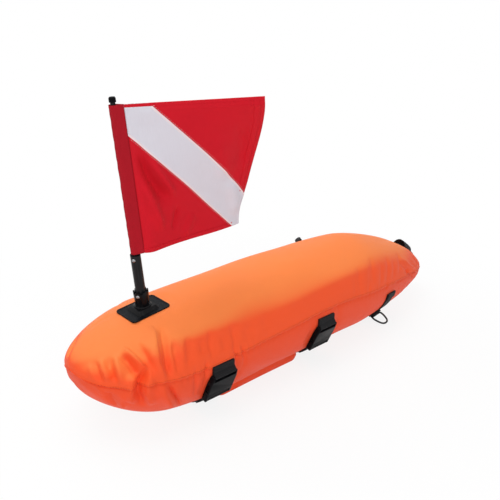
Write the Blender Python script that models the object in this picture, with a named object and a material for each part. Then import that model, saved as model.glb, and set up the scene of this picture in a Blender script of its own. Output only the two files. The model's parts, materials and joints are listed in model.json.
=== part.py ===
"""Dive flag float: an inflatable torpedo float with a two-piece mast, a flag and belly straps.

Metres, +Z up. The float lies along X with the mast near its -X end. The floor is z = 0, and
x = 0, y = 0 is the middle of the float's length and width.
"""
import math

import bmesh
import bpy
from mathutils import Matrix, Vector

# Float body
float_length = 1.060
float_width = 0.238
float_height = 0.222
back_drop = 0.030
waist_height = 0.104
belly_press = 0.006
near_tip_height = 0.135
far_tip_height = 0.050
near_back_taper = 0.167
near_belly_taper = 0.228
near_side_taper = 0.142
far_back_taper = 0.343
far_belly_taper = 0.348
far_side_taper = 0.375
near_nose_share = 1.64
far_nose_share = 1.30

# Cover and bladder
cover_thickness = 0.0012
bladder_thickness = 0.0008
bladder_gap = 0.0070
seam_angle = math.radians(-7)
seam_gap = 0.0004
tip_room_share = 0.3
tip_hole = 0.000004
probe_share = 0.01
ramp_length = 0.012
upper_columns = 14
lower_columns = 11
bladder_columns = 18
bladder_rows = 18

# Fits
clearance = 0.0003
webbing_lay = 0.0005
running_gap = 0.0004
cut_overrun = 0.004

# Webbing straps
wide_webbing = 0.050
rear_webbing = 0.040
webbing_thickness = 0.0020
front_strap_share = 0.219811321
middle_strap_share = 0.491509434
rear_strap_share = 0.740566038
front_strap_station = float_length * front_strap_share
middle_strap_station = float_length * middle_strap_share
rear_strap_station = float_length * rear_strap_share
strap_far_angle = math.radians(-160)
strap_side_room = 0.001

# Belly pocket and ballast
pocket_depth = 0.0130
pocket_cloth = 0.0012
pocket_width = 0.184
pocket_wall_height = 0.046
pocket_corner = 0.016
pocket_strap_room = 0.004
pocket_gap = 0.0014
ballast_end_room = 0.025
ballast_width = 0.100
ballast_thickness = 0.0100
ballast_corner = 0.012
ballast_bevel = 0.002

# Mast socket
mast_station = 0.1455
mast_lean = math.radians(7.2)
pad_sink = 0.0046
pad_radius = 0.047
pad_fall = 0.022
patch_length = 0.072
patch_width = 0.054
patch_thickness = 0.0020
patch_corner = 0.008
patch_rim_width = 0.0022
patch_rim_height = 0.0010
foot_length = 0.044
foot_width = 0.041
foot_height = 0.0070
foot_slope = 0.0040
foot_corner = 0.003
flange_radius = 0.0158
flange_thickness = 0.0026
socket_radius = 0.0136
socket_waist_radius = 0.0122
socket_height = 0.0386
socket_notch_width = 0.0050
socket_notch_depth = 0.0030
socket_notches = 6
plate_length = 0.040
plate_width = 0.030
plate_thickness = 0.0010
plate_gap = 0.0008

# Mast
tube_radius = 0.0090
tube_wall = 0.0011
tube_seat = 0.0070
flag_foot_height = 0.1076
plug_length = 0.0075
ferrule_room = 0.0144
ferrule_wall = 0.0012
rod_radius = 0.0040
rod_stand = 0.0100
tip_radius = 0.0056
tip_length = 0.0080
tip_cover = 0.0060
button_radius = 0.0034
button_heading = math.radians(-150)
lower_button_height = 0.0312
upper_button_drop = 0.0074
upper_button_height = flag_foot_height - upper_button_drop
ferrule_length = flag_foot_height - lower_button_height - ferrule_room
button_proud = 0.0012
leaf_width = 0.0062
leaf_thickness = 0.0008
leaf_length = 0.011

# Flag
flag_hoist = 0.254
flag_fly = 0.238
flag_cloth = 0.0008
flag_heading = math.radians(-42)
stripe_width = 0.055
sleeve_depth = 0.021
sleeve_room = 0.0011
flag_curl = math.radians(105)
curl_start_share = 0.28
curl_creep_share = 0.50
curl_depth_share = 2.2
flag_columns = 14
flag_rows = 12
flag_stiff = 0.012
batten_length = 0.205
batten_depth = 0.009
batten_thickness = 0.0012

# Side-release buckles
buckle_side = 0.006
buckle_width = wide_webbing + 2 * buckle_side
buckle_thickness = 0.0120
female_length = 0.044
male_base_length = 0.019
buckle_wall = 0.0022
buckle_angle = math.radians(-20)
buckle_bevel = 0.0018
bar_size = 0.0044
slot_length = 0.0062
buckle_sink = 0.0046
buckle_pad_radius = 0.040
buckle_pad_fall = 0.022
tongue_width = 0.012
tongue_length = 0.022
tongue_thickness = 0.0040
tongue_root = 0.0040
arm_width = 0.0060
arm_length = 0.027
arm_thickness = 0.0060
arm_catch = 0.0036
arm_relief = 0.0012
window_length = 0.020
tab_anchor_length = 0.014

# D-ring on the rear strap
ring_wire_radius = 0.0022
ring_width = 0.042
ring_depth = 0.034
ring_angle = math.radians(-52)
ring_loop_length = 0.017
rear_tab_length = 0.018
ring_arc_points = 12
ring_sag = 0.0005

# Grab loop near the far tip
grab_inset = 0.050
grab_station = float_length - grab_inset
grab_webbing = 0.038
grab_rise = 0.020
grab_span = 0.034
grab_angle = math.radians(104)
grab_foot = 0.010

# Zip on the far side
zip_near_share = 0.259433962
zip_far_share = 0.58490566
zip_near_station = float_length * zip_near_share
zip_far_station = float_length * zip_far_share
zip_tape_width = 0.014
zip_tape_thickness = 0.0008
zip_split = 0.0006
tooth_pitch = 0.0080
tooth_width = 0.0032
tooth_reach = 0.0013
chain_half_width = 0.0040
chain_thickness = 0.0018
slider_length = 0.015
slider_plate = 0.0014
slider_cheek = 0.0014
bail_height = 0.0052
bail_bar_radius = 0.0010
bail_length = 0.009
pull_length = 0.030
pull_width = 0.0085
pull_thickness = 0.0016

# Inflation valve on the far side
valve_share = 0.650943396
valve_station = float_length * valve_share
valve_angle = math.radians(148)
valve_sink = 0.0030
valve_pad_radius = 0.026
valve_pad_fall = 0.020
valve_flange_radius = 0.022
valve_flange_thickness = 0.0012
valve_neck_radius = 0.0120
valve_neck_rise = 0.0050
valve_bore = 0.0094
valve_body_bore = 0.0060
valve_body_rise = 0.0145
valve_collar_radius = 0.0135
valve_collar_thickness = 0.0020
lock_ring_radius = 0.0150
lock_ring_height = 0.0060
lock_ring_grips = 10
mouth_radius = 0.0054
mouth_bore = 0.0038
mouth_rise = 0.0270
mouth_lip = 0.0066
mouth_travel = 0.0050
cap_wall = 0.0012
cap_height = 0.0075

near_end = -float_length / 2


def clear_scene():
    for old in list(bpy.data.objects):
        bpy.data.objects.remove(old, do_unlink=True)
    for old in list(bpy.data.meshes):
        bpy.data.meshes.remove(old)


def material(name, colour, roughness, metallic=0.0):
    made = bpy.data.materials.new(name)
    made.use_nodes = True
    shader = made.node_tree.nodes["Principled BSDF"]
    shader.inputs["Base Color"].default_value = (*colour, 1.0)
    shader.inputs["Roughness"].default_value = roughness
    shader.inputs["Metallic"].default_value = metallic
    made.diffuse_color = (*colour, 1.0)
    return made


def add_object(name, mesh, finish, parent=None, sharp=35):
    made = bpy.data.objects.new(name, mesh)
    bpy.context.scene.collection.objects.link(made)
    mesh.materials.append(finish)
    mesh.shade_smooth()
    mesh.set_sharp_from_angle(angle=math.radians(sharp))
    if parent is not None:
        made.parent = parent
    return made


def frame_empty(name, matrix, parent=None):
    made = bpy.data.objects.new(name, None)
    bpy.context.scene.collection.objects.link(made)
    if parent is not None:
        made.parent = parent
    made.matrix_local = matrix
    return made


def to_mesh(name, work):
    """The finished mesh of one closed body, with its faces turned outwards."""
    bmesh.ops.recalc_face_normals(work, faces=work.faces[:])
    if work.calc_volume(signed=True) < 0:
        bmesh.ops.reverse_faces(work, faces=work.faces[:])
    mesh = bpy.data.meshes.new(name)
    work.to_mesh(mesh)
    work.free()
    return mesh


def cut(target, cutter):
    cutter.hide_render = True
    cutter.display_type = "WIRE"
    step = target.modifiers.new(cutter.name, "BOOLEAN")
    step.operation = "DIFFERENCE"
    step.solver = "EXACT"
    step.object = cutter


def turned(name, profile, finish, parent=None, sides=32, sharp=35):
    """A turned piece from a closed profile of (radius, height) points about local Z."""
    work = bmesh.new()
    points = [work.verts.new((radius, 0, height)) for radius, height in profile]
    edges = [work.edges.new((a, b)) for a, b in zip(points, points[1:] + points[:1])
             if a.co.x > 0 or b.co.x > 0]
    bmesh.ops.spin(work, geom=points + edges, axis=(0, 0, 1), cent=(0, 0, 0),
                   steps=sides, angle=math.tau, use_merge=True)
    bmesh.ops.remove_doubles(work, verts=work.verts[:], dist=clearance / 10)
    return add_object(name, to_mesh(name, work), finish, parent, sharp)


def rod_cutter(name, radius, start, end, matrix, parent=None, sides=24):
    """A round cutter along local Z from start to end, placed by the matrix."""
    work = bmesh.new()
    bmesh.ops.create_cone(work, cap_ends=True, segments=sides, radius1=radius, radius2=radius,
                          depth=end - start,
                          matrix=Matrix.Translation((0, 0, (start + end) / 2)))
    mesh = to_mesh(name, work)
    made = bpy.data.objects.new(name, mesh)
    bpy.context.scene.collection.objects.link(made)
    if parent is not None:
        made.parent = parent
    made.matrix_local = matrix
    return made


def block(work, size, centre):
    """Adds a box of the given size to a bmesh and returns its vertices."""
    place = Matrix.Translation(centre) @ Matrix.Diagonal((*size, 1.0))
    return bmesh.ops.create_cube(work, size=1.0, matrix=place)["verts"]


def block_cutter(name, size, centre, matrix=None, parent=None):
    work = bmesh.new()
    block(work, size, centre)
    made = bpy.data.objects.new(name, to_mesh(name, work))
    bpy.context.scene.collection.objects.link(made)
    if parent is not None:
        made.parent = parent
    if matrix is not None:
        made.matrix_local = matrix
    return made


def outline_prism(work, outline, low, high):
    """Extrudes a flat outline of (x, y) points from one height to the other."""
    base = work.faces.new([work.verts.new((x, y, low)) for x, y in outline])
    grown = bmesh.ops.extrude_face_region(work, geom=[base])["geom"]
    lifted = [item for item in grown if isinstance(item, bmesh.types.BMVert)]
    bmesh.ops.translate(work, verts=lifted, vec=(0, 0, high - low))
    return lifted


def rounded_rectangle(length, width, corner, steps=5):
    points = []
    for turn in range(4):
        centre_x = (length / 2 - corner) * (1 if turn in (0, 3) else -1)
        centre_y = (width / 2 - corner) * (1 if turn in (0, 1) else -1)
        for step in range(steps + 1):
            angle = math.radians(90) * (turn + step / steps)
            points.append((centre_x + corner * math.cos(angle),
                           centre_y + corner * math.sin(angle)))
    return points


# Shape of the float

def nose(share_along, power):
    """How far the section has opened, 0 at the tip and 1 where the nose ends."""
    along = min(max(share_along, 0.0), 1.0)
    return math.sqrt(1 - (1 - along) ** power)


def ease(value):
    held = min(max(value, 0.0), 1.0)
    return held * held * (3 - 2 * held)


def belly_lift(station):
    """Height that the straps and the ballast press the cover's belly up above the floor."""
    strap_lift = webbing_thickness + webbing_lay
    lift = 0.0
    for centre, width in ((front_strap_station, wide_webbing),
                          (middle_strap_station, wide_webbing),
                          (rear_strap_station, rear_webbing)):
        away = abs(station - centre) - width / 2 - strap_side_room
        lift = max(lift, strap_lift * (1 - ease(away / ramp_length)))
    middle = (pocket_start() + pocket_end()) / 2
    inside = (pocket_end() - pocket_start()) / 2 - abs(station - middle)
    pressed = pocket_depth + clearance
    return max(lift, pressed * ease(inside / ramp_length + clearance / ramp_length))


def pocket_start():
    return front_strap_station + wide_webbing / 2 + pocket_strap_room


def pocket_end():
    return middle_strap_station - wide_webbing / 2 - pocket_strap_room


def plain_skin(station, angle, inset=0.0):
    """A point of the bare float. Angle 0 is the near side, 90 degrees is the back."""
    share = station / float_length
    middle = 2 * share - 1
    rest = float_length - station
    back = float_height - inset - back_drop * middle * middle
    blend = 0.5 + 0.5 * math.tanh(5 * (share - 0.5))
    tip = near_tip_height * (1 - blend) + far_tip_height * blend
    open_back = nose(station / near_back_taper, near_nose_share) * nose(rest / far_back_taper, far_nose_share)
    open_belly = nose(station / near_belly_taper, near_nose_share) * nose(rest / far_belly_taper, far_nose_share)
    open_side = nose(station / near_side_taper, near_nose_share) * nose(rest / far_side_taper, far_nose_share)
    top = tip + (back - tip) * open_back
    low = tip * (1 - open_belly) + (inset - belly_press) * open_belly
    waist = tip + (waist_height - tip) * open_side
    side = (float_width / 2 - inset) * open_side
    rise = top - waist if math.sin(angle) > 0 else waist - low
    along = near_end + inset + (float_length - 2 * inset) * share
    return Vector((along, -side * math.cos(angle), waist + rise * math.sin(angle)))


def outward(station, angle):
    """The skin's direction outwards at a place."""
    here = plain_skin(station, angle)
    step = min(station, float_length - station) * probe_share
    step = min(step, clearance)
    along = plain_skin(station + step, angle) - plain_skin(station - step, angle)
    turn = probe_share
    round_it = plain_skin(station, angle + turn) - plain_skin(station, angle - turn)
    out = round_it.cross(along).normalized()
    middle = Vector((0, 0, waist_height))
    if out.dot(here - middle) < 0:
        out = -out
    return out


def pads():
    """The flat places that the socket, the valve and the tight buckles press into the skin."""
    places = [(mast_matrix(), pad_radius, pad_fall), (valve_matrix(), valve_pad_radius, valve_pad_fall)]
    for station in (front_strap_station, middle_strap_station):
        places.append((skin_matrix(station, buckle_angle, buckle_sink), buckle_pad_radius, buckle_pad_fall))
    return [(matrix, matrix.inverted(), radius, fall) for matrix, radius, fall in places]


pad_cache = []


def skin(station, angle, outset=0.0):
    """A point off the dressed skin: on the floor side it lies flat, and at the pads too."""
    point = plain_skin(station, angle)
    if outset:
        point += outward(station, angle) * outset
    floor = belly_lift(station) - outset
    if point.z < floor:
        point.z = floor
    if not pad_cache:
        pad_cache.extend(pads())
    for matrix, inverse, radius, fall in pad_cache:
        local = inverse @ point
        spread = math.hypot(local.x, local.y)
        above = local.z - outset
        if above > 0 and spread < radius + fall and local.z > -radius:
            local.z -= above * (1 - ease((spread - radius) / fall))
            point = matrix @ local
    return point


def mast_matrix():
    """The mast's frame: Z runs up the mast from the flat place under the patch."""
    foot = plain_skin(mast_station, math.radians(90))
    turned_frame = Matrix.Translation(foot) @ Matrix.Rotation(-mast_lean, 4, "Y")
    return turned_frame @ Matrix.Translation((0, 0, -pad_sink))


def skin_matrix(station, angle, sink):
    """A frame on the skin: X along the float, Z outwards, sunk by the given depth."""
    here = plain_skin(station, angle)
    out = outward(station, angle)
    ahead = (Vector((1, 0, 0)) - out * out.x).normalized()
    side = out.cross(ahead)
    turned_frame = Matrix((ahead, side, out)).transposed().to_4x4()
    return Matrix.Translation(here - out * sink) @ turned_frame


def valve_matrix():
    return skin_matrix(valve_station, valve_angle, valve_sink)


def station_list():
    """Stations of the cover's sections: close at the noses and where the belly steps."""
    marks = [tip_hole]
    nose_steps = 7
    for step in range(1, nose_steps + 1):
        marks.append(near_belly_taper * (step / nose_steps) ** 2)
    far_steps = 8
    for step in range(1, far_steps + 1):
        marks.append(float_length - far_side_taper * (step / far_steps) ** 2)
    marks.append(float_length - tip_hole)
    ends = []
    for centre, width in ((front_strap_station, wide_webbing),
                          (middle_strap_station, wide_webbing),
                          (rear_strap_station, rear_webbing)):
        half = width / 2 + strap_side_room
        ends += [centre - half - ramp_length, centre - half, centre + half, centre + half + ramp_length]
    ends += [pocket_start(), pocket_start() + ramp_length, pocket_end() - ramp_length, pocket_end()]
    pad_reach = patch_length / 2
    ends += [mast_station - pad_reach, mast_station, mast_station + pad_reach]
    ends += [valve_station - valve_pad_radius, valve_station, valve_station + valve_pad_radius]
    spread = float_length / 22
    kept = sorted(ends)
    for mark in sorted(marks):
        near_tip_or_far = mark < spread or mark > float_length - spread
        if near_tip_or_far or min(abs(mark - other) for other in kept) > spread / 4:
            kept.append(mark)
    kept.sort()
    filled = [kept[0]]
    for mark in kept[1:]:
        gap = mark - filled[-1]
        pieces = max(1, math.ceil(gap / spread - 0.2))
        start = filled[-1]
        filled += [start + gap * part / pieces for part in range(1, pieces + 1)]
    return [mark for index, mark in enumerate(filled)
            if index == 0 or mark - filled[index - 1] > tip_hole]


def thick_sheet(name, columns, rows, place, finish, parent=None):
    """A sheet of columns by rows cells. place(column, row, under) puts each vertex, on the
    outer side where under is 0 and on the inner side where it is 1."""
    work = bmesh.new()
    bmesh.ops.create_grid(work, x_segments=columns, y_segments=rows, size=1.0)
    outer = list(work.verts)
    grown = bmesh.ops.extrude_face_region(work, geom=work.faces[:], use_keep_orig=True)["geom"]
    inner = [item for item in grown if isinstance(item, bmesh.types.BMVert)]
    for under, group in ((0, outer), (1, inner)):
        for vertex in group:
            column = round((vertex.co.x + 1) / 2 * columns)
            row = round((vertex.co.y + 1) / 2 * rows)
            vertex.co = place(column, row, under)
    return add_object(name, to_mesh(name, work), finish, parent)


def upper_angles():
    """Angles of the upper panel's columns, with columns at the valve's flat place."""
    low = seam_angle
    high = math.pi - seam_angle
    half = valve_pad_radius / (float_width / 2)
    marks = [valve_angle - half, valve_angle, valve_angle + half]
    step = (high - low) / upper_columns
    for column in range(upper_columns + 1):
        angle = low + step * column
        edge = column in (0, upper_columns)
        if edge or min(abs(angle - mark) for mark in marks) > step / 2:
            marks.append(angle)
    return sorted(marks)


def lower_angles():
    """Angles of the lower panel's columns, with columns at the edges of the flat belly."""
    low = math.pi - seam_angle
    high = math.tau + seam_angle
    marks = [math.pi + belly_corner(), math.tau - belly_corner()]
    step = (high - low) / lower_columns
    for column in range(lower_columns + 1):
        angle = low + step * column
        if min(abs(angle - mark) for mark in marks) > step / 3:
            marks.append(angle)
    return sorted(marks)


def cover_panel(name, angles, finish):
    stations = station_list()
    last = len(angles) - 1

    def place(column, row, under):
        station = stations[column]
        room = min(seam_gap / 2 / -plain_skin(station, 0.0).y, (angles[1] - angles[0]) * tip_room_share)
        angle = angles[row] + (room if row == 0 else -room if row == last else 0.0)
        return skin(station, angle, -cover_thickness * under)

    return thick_sheet(name, len(stations) - 1, last, place, finish)


def skin_blank(name, outset):
    """A closed solid of the float's outer shape, for cutting what presses against it."""
    stations = station_list()
    ring_angles = upper_angles() + lower_angles()[1:-1]
    work = bmesh.new()
    rings = []
    for station in stations:
        ring = [work.verts.new(skin(station, angle, outset)) for angle in ring_angles]
        rings.append([work.edges.new((a, b)) for a, b in zip(ring, ring[1:] + ring[:1])])
    for one, two in zip(rings, rings[1:]):
        bmesh.ops.bridge_loops(work, edges=one + two)
    for ends in (rings[0], rings[-1]):
        bmesh.ops.contextual_create(work, geom=ends)
    mesh = to_mesh(name, work)
    made = bpy.data.objects.new(name, mesh)
    bpy.context.scene.collection.objects.link(made)
    return made


def make_bladder(finish):
    """A hollow bladder: an outer wall and an inner wall, opened by the valve's hole."""
    work = bmesh.new()
    inset = cover_thickness + bladder_gap
    floor = pocket_depth + cover_thickness + clearance * 2
    for wall, flip in ((0.0, False), (bladder_thickness, True)):
        made = bmesh.ops.create_uvsphere(work, u_segments=bladder_columns, v_segments=bladder_rows,
                                         radius=1.0)["verts"]
        faces = {face for vertex in made for face in vertex.link_faces}
        for vertex in made:
            angle = math.atan2(vertex.co.y, vertex.co.x)
            share = 0.5 - math.asin(max(-1.0, min(1.0, vertex.co.z))) / math.pi
            pole = vertex.co.z > 1 - clearance or vertex.co.z < clearance - 1
            station = float_length * (share * share * (3 - 2 * share))
            if pole:
                angle = math.radians(90)
            vertex.co = plain_skin(station, angle, inset + wall)
            vertex.co.z = max(vertex.co.z, floor + wall)
            if pole:
                vertex.co.y = 0
        bmesh.ops.recalc_face_normals(work, faces=list(faces))
        if flip:
            bmesh.ops.reverse_faces(work, faces=list(faces))
    mesh = bpy.data.meshes.new("bladder")
    work.to_mesh(mesh)
    work.free()
    return add_object("bladder", mesh, finish)


# Belly pocket

def make_pocket(cloth, lead, blank):
    length = pocket_end() - pocket_start()
    centre_x = near_end + (pocket_start() + pocket_end()) / 2
    work = bmesh.new()
    outline_prism(work, rounded_rectangle(length, pocket_width, pocket_corner), 0, pocket_wall_height)
    top = [face for face in work.faces if face.calc_center_median().z > pocket_wall_height - clearance
           and abs(face.normal.z) > 0.9]
    inner = bmesh.ops.inset_region(work, faces=top, thickness=pocket_cloth, use_even_offset=True)
    del inner
    bmesh.ops.translate(work, verts=list({v for face in top for v in face.verts}),
                        vec=(0, 0, pocket_cloth - pocket_wall_height))
    panel = add_object("pocket_panel", to_mesh("pocket_panel", work), cloth)
    panel.location = (centre_x, 0, 0)
    cut(panel, blank)

    work = bmesh.new()
    outline_prism(work, rounded_rectangle(length - 2 * ballast_end_room, ballast_width, ballast_corner), 0,
                  ballast_thickness)
    rims = [edge for edge in work.edges if len(edge.link_faces) == 2
            and edge.calc_face_angle(0) > math.radians(60)]
    bmesh.ops.bevel(work, geom=rims, offset=ballast_bevel, segments=2, profile=0.5,
                    affect="EDGES", material=-1)
    weight = add_object("ballast_weight", to_mesh("ballast_weight", work), lead)
    weight.location = (centre_x, 0, pocket_cloth + clearance)


# Mast, socket and flag

def rim_steps(size, rim, inner):
    """Positions across a panel with a raised rim: two at each edge's rim, then even steps."""
    half = size / 2
    low = rim * 1.2 - half
    steps = [-half, rim - half] + [low + (-2 * low) * step / inner for step in range(inner + 1)]
    return steps + [half - rim, half]


def local_reach(station, angle):
    """Distance round the section for one radian at a place of the skin."""
    step = math.radians(5)
    return (plain_skin(station, angle + step) - plain_skin(station, angle - step)).length / (2 * step)


def notch_star(frame):
    """One star-shaped cutter for all the notches of the socket's mouth."""
    apart = math.tau / socket_notches
    corner = Vector((socket_notch_width / 2 / math.sin(apart / 2), 0))
    outline = []
    for notch in range(socket_notches):
        turn = Matrix.Rotation(button_heading + apart * (notch + 0.5), 2)
        for side in (-1, 1):
            outline.append(turn @ Vector((flange_radius, side * socket_notch_width / 2)))
        outline.append(turn @ Matrix.Rotation(apart / 2, 2) @ corner)
    work = bmesh.new()
    outline_prism(work, outline, socket_height - socket_notch_depth, socket_height + socket_notch_depth)
    star = bpy.data.objects.new("socket_notches", to_mesh("socket_notches", work))
    bpy.context.scene.collection.objects.link(star)
    star.parent = frame
    return star


def make_socket(rubber, plastic, frame):
    level = clearance + patch_thickness
    reach = local_reach(mast_station, math.radians(90))
    along = rim_steps(patch_length, patch_rim_width, 8)
    across = rim_steps(patch_width, patch_rim_width, 6)

    def place(column, row, under):
        x = along[column]
        y = across[row]
        corner = column in (0, len(along) - 1) and row in (0, len(across) - 1)
        if corner:
            x -= math.copysign(patch_corner / 4, x)
            y -= math.copysign(patch_corner / 4, y)
        rim = min(column, len(along) - 1 - column, row, len(across) - 1 - row) < 2
        height = level if rim else level - patch_rim_height
        return skin(mast_station + x, math.radians(90) - y / reach, clearance if under else height)

    thick_sheet("socket_patch", len(along) - 1, len(across) - 1, place, rubber)

    base = level - patch_rim_height + clearance
    work = bmesh.new()
    foot_top = outline_prism(work, rounded_rectangle(foot_length, foot_width, foot_corner), base,
                             base + foot_height)
    for vertex in foot_top:
        vertex.co.x *= 1 - 2 * foot_slope / foot_length
        vertex.co.y *= 1 - 2 * foot_slope / foot_width
    socket = add_object("mast_socket", to_mesh("mast_socket", work), plastic, frame)

    foot_level = base + foot_height
    neck = turned("socket_neck", [
        (0.0, foot_level - flange_thickness),
        (flange_radius, foot_level - flange_thickness),
        (flange_radius, foot_level + flange_thickness / 2),
        (flange_radius - flange_thickness / 2, foot_level + flange_thickness),
        (socket_waist_radius, foot_level + flange_thickness),
        (socket_radius, socket_height - socket_notch_depth * 2),
        (socket_radius, socket_height),
        (0.0, socket_height)], plastic, frame)
    neck.hide_render = True
    neck.display_type = "WIRE"
    union = socket.modifiers.new("neck", "BOOLEAN")
    union.operation = "UNION"
    union.solver = "EXACT"
    union.object = neck
    bore = rod_cutter("socket_bore", tube_radius + clearance, tube_seat, socket_height + cut_overrun,
                      Matrix.Identity(4), frame, 32)
    cut(socket, bore)
    cut(socket, notch_star(frame))
    cut(socket, button_cutter("socket_button_hole", lower_button_height, frame))

    low = -cover_thickness - plate_gap - plate_thickness
    work = bmesh.new()
    outline_prism(work, rounded_rectangle(plate_length, plate_width, patch_corner), low,
                  low + plate_thickness)
    add_object("backing_plate", to_mesh("backing_plate", work), plastic, frame)


def button_frame(height):
    """Frame of a snap button: its Z points out of the tube."""
    return (Matrix.Translation((0, 0, height)) @ Matrix.Rotation(button_heading, 4, "Z")
            @ Matrix.Rotation(math.radians(90), 4, "Y"))


def button_cutter(name, height, frame):
    return rod_cutter(name, button_radius + clearance, 0, socket_radius + cut_overrun,
                      button_frame(height), frame, 20)


def make_snap_button(name, height, bore, reach, steel, frame):
    """A domed button on the front leaf of its bent spring, and the rest of that spring."""
    place = frame_empty(name + "_axis", button_frame(height), frame)
    inner = math.sqrt((bore - running_gap) ** 2 - (leaf_width / 2) ** 2) - leaf_thickness / 2
    dome = button_radius * 0.5
    profile = [(0.0, inner), (button_radius, inner), (button_radius, reach - dome),
               (button_radius * 0.8, reach - dome * 0.4), (button_radius * 0.4, reach),
               (0.0, reach)]
    button = turned(name, profile, steel, place, 20)
    work = bmesh.new()
    block(work, (leaf_length, leaf_width, leaf_thickness), (0, 0, inner))
    leaf = bpy.data.objects.new(name + "_leaf", to_mesh(name + "_leaf", work))
    bpy.context.scene.collection.objects.link(leaf)
    leaf.parent = place
    leaf.hide_render = True
    leaf.display_type = "WIRE"
    union = button.modifiers.new("leaf", "BOOLEAN")
    union.operation = "UNION"
    union.solver = "EXACT"
    union.object = leaf

    work = bmesh.new()
    outer = inner + leaf_thickness / 2
    thin = outer - leaf_thickness
    steps = 8
    start = leaf_length / 2 + clearance
    arc_out = [(start + outer * math.sin(math.pi * step / steps), outer * math.cos(math.pi * step / steps))
               for step in range(steps + 1)]
    arc_in = [(start + thin * math.sin(math.pi * step / steps), thin * math.cos(math.pi * step / steps))
              for step in range(steps + 1)]
    ring = arc_out + [(start - leaf_length, -outer), (start - leaf_length, -thin)] + arc_in[::-1]
    outline_prism(work, ring, -leaf_width / 2, leaf_width / 2)
    turn = Matrix(((1, 0, 0, 0), (0, 0, -1, 0), (0, 1, 0, 0), (0, 0, 0, 1)))
    bmesh.ops.transform(work, matrix=turn, verts=work.verts[:])
    add_object(name + "_spring", to_mesh(name + "_spring", work), steel, place)


def make_mast(carbon, plastic, steel, frame):
    inner = tube_radius - tube_wall
    tube_foot = tube_seat + clearance
    tube = turned("lower_tube", [(inner, tube_foot), (tube_radius, tube_foot),
                                 (tube_radius, flag_foot_height), (inner, flag_foot_height)],
                  carbon, frame)
    cut(tube, button_cutter("tube_lower_hole", lower_button_height, frame))
    cut(tube, button_cutter("tube_upper_hole", upper_button_height, frame))
    plug = inner - clearance
    turned("tube_plug", [(0.0, tube_foot), (plug, tube_foot), (plug, tube_foot + plug_length * 0.8),
                         (plug * 0.8, tube_foot + plug_length), (0.0, tube_foot + plug_length)],
           plastic, frame, 24)

    ferrule = inner - clearance
    ferrule_foot = flag_foot_height - ferrule_length
    shell = ferrule - ferrule_wall
    body = turned("mast_ferrule", [
        (shell, ferrule_foot), (ferrule, ferrule_foot), (ferrule, flag_foot_height),
        (tube_radius, flag_foot_height + clearance),
        (tube_radius, flag_foot_height + ferrule_wall),
        (rod_radius + ferrule_wall, flag_foot_height + ferrule_wall * 2),
        (rod_radius + clearance, flag_foot_height + ferrule_wall * 2),
        (rod_radius + clearance, flag_foot_height - ferrule_wall),
        (shell, flag_foot_height - ferrule_wall)], plastic, frame)
    cut(body, button_cutter("ferrule_hole", upper_button_height, frame))

    rod_foot = flag_foot_height - ferrule_wall
    rod_top = flag_foot_height + flag_hoist + rod_stand
    turned("upper_rod", [(0.0, rod_foot), (rod_radius, rod_foot), (rod_radius, rod_top), (0.0, rod_top)],
           carbon, frame, 20)
    wall = rod_radius + clearance
    crown = rod_top + clearance
    turned("rod_tip", [
        (wall, rod_top - tip_cover), (tip_radius, rod_top - tip_cover),
        (tip_radius, rod_top), (tip_radius * 0.8, crown + (tip_length - tip_cover) * 0.8),
        (tip_radius * 0.4, crown + tip_length - tip_cover),
        (0.0, crown + tip_length - tip_cover), (0.0, crown), (wall, crown)], plastic, frame, 20)
    make_snap_button("lower_button", lower_button_height, inner, socket_radius + button_proud, steel, frame)
    make_snap_button("upper_button", upper_button_height, shell, tube_radius + button_proud, steel, frame)


def flag_point(along, down, off=0.0):
    """A point of the flag in the mast's frame, along the fly and down from the top hem.

    The cloth runs straight from the hoist and then turns away on an arc, later at the top
    than at the foot, so that the lower fly corner curls behind."""
    share = max(down - flag_stiff, 0.0) / (flag_hoist - flag_stiff)
    left = max(1 - share, 0.0)
    start = flag_fly * (curl_start_share + curl_creep_share * left ** 3)
    turn = flag_curl * (1 - left ** curl_depth_share)
    rate = turn / (flag_fly - start)
    past = max(along - start, 0.0)
    bend = rate * past
    ahead = min(along, start)
    aside = 0.0
    if bend > clearance:
        ahead += math.sin(bend) / rate
        aside = (1 - math.cos(bend)) / rate
    else:
        ahead += past
    flat = Vector((ahead - off * math.sin(bend), aside + off * math.cos(bend), 0))
    flat.rotate(Matrix.Rotation(flag_heading, 3, "Z"))
    sag = math.sin(mast_lean) * flat.x * share * ease(along / flag_fly)
    return Vector((flat.x, flat.y, flag_foot_height + flag_hoist - down - sag))


def flag_piece(name, sides, finish, frame):
    """A cloth piece cut from the flag's rectangle by straight lines, then hung."""
    work = bmesh.new()
    start = sleeve_depth + clearance
    place = Matrix.Translation(((start + flag_fly) / 2, flag_hoist / 2, 0)) @ Matrix.Diagonal(
        ((flag_fly - start) / 2, flag_hoist / 2, 1, 1))
    bmesh.ops.create_grid(work, x_segments=flag_columns, y_segments=flag_rows, size=1.0, matrix=place)
    everything = work.verts[:] + work.edges[:] + work.faces[:]
    bmesh.ops.bisect_plane(work, geom=everything, dist=clearance / 10, plane_co=(0, flag_stiff, 0),
                           plane_no=(0, 1, 0))
    for point, normal in sides:
        everything = work.verts[:] + work.edges[:] + work.faces[:]
        bmesh.ops.bisect_plane(work, geom=everything, dist=clearance / 10, plane_co=point,
                               plane_no=normal, clear_outer=True)
    outer = list(work.verts)
    grown = bmesh.ops.extrude_face_region(work, geom=work.faces[:], use_keep_orig=True)["geom"]
    inner = [item for item in grown if isinstance(item, bmesh.types.BMVert)]
    for off, group in ((-flag_cloth / 2, outer), (flag_cloth / 2, inner)):
        for vertex in group:
            vertex.co = flag_point(vertex.co.x, vertex.co.y, off)
    return add_object(name, to_mesh(name, work), finish, frame, 60)


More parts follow.
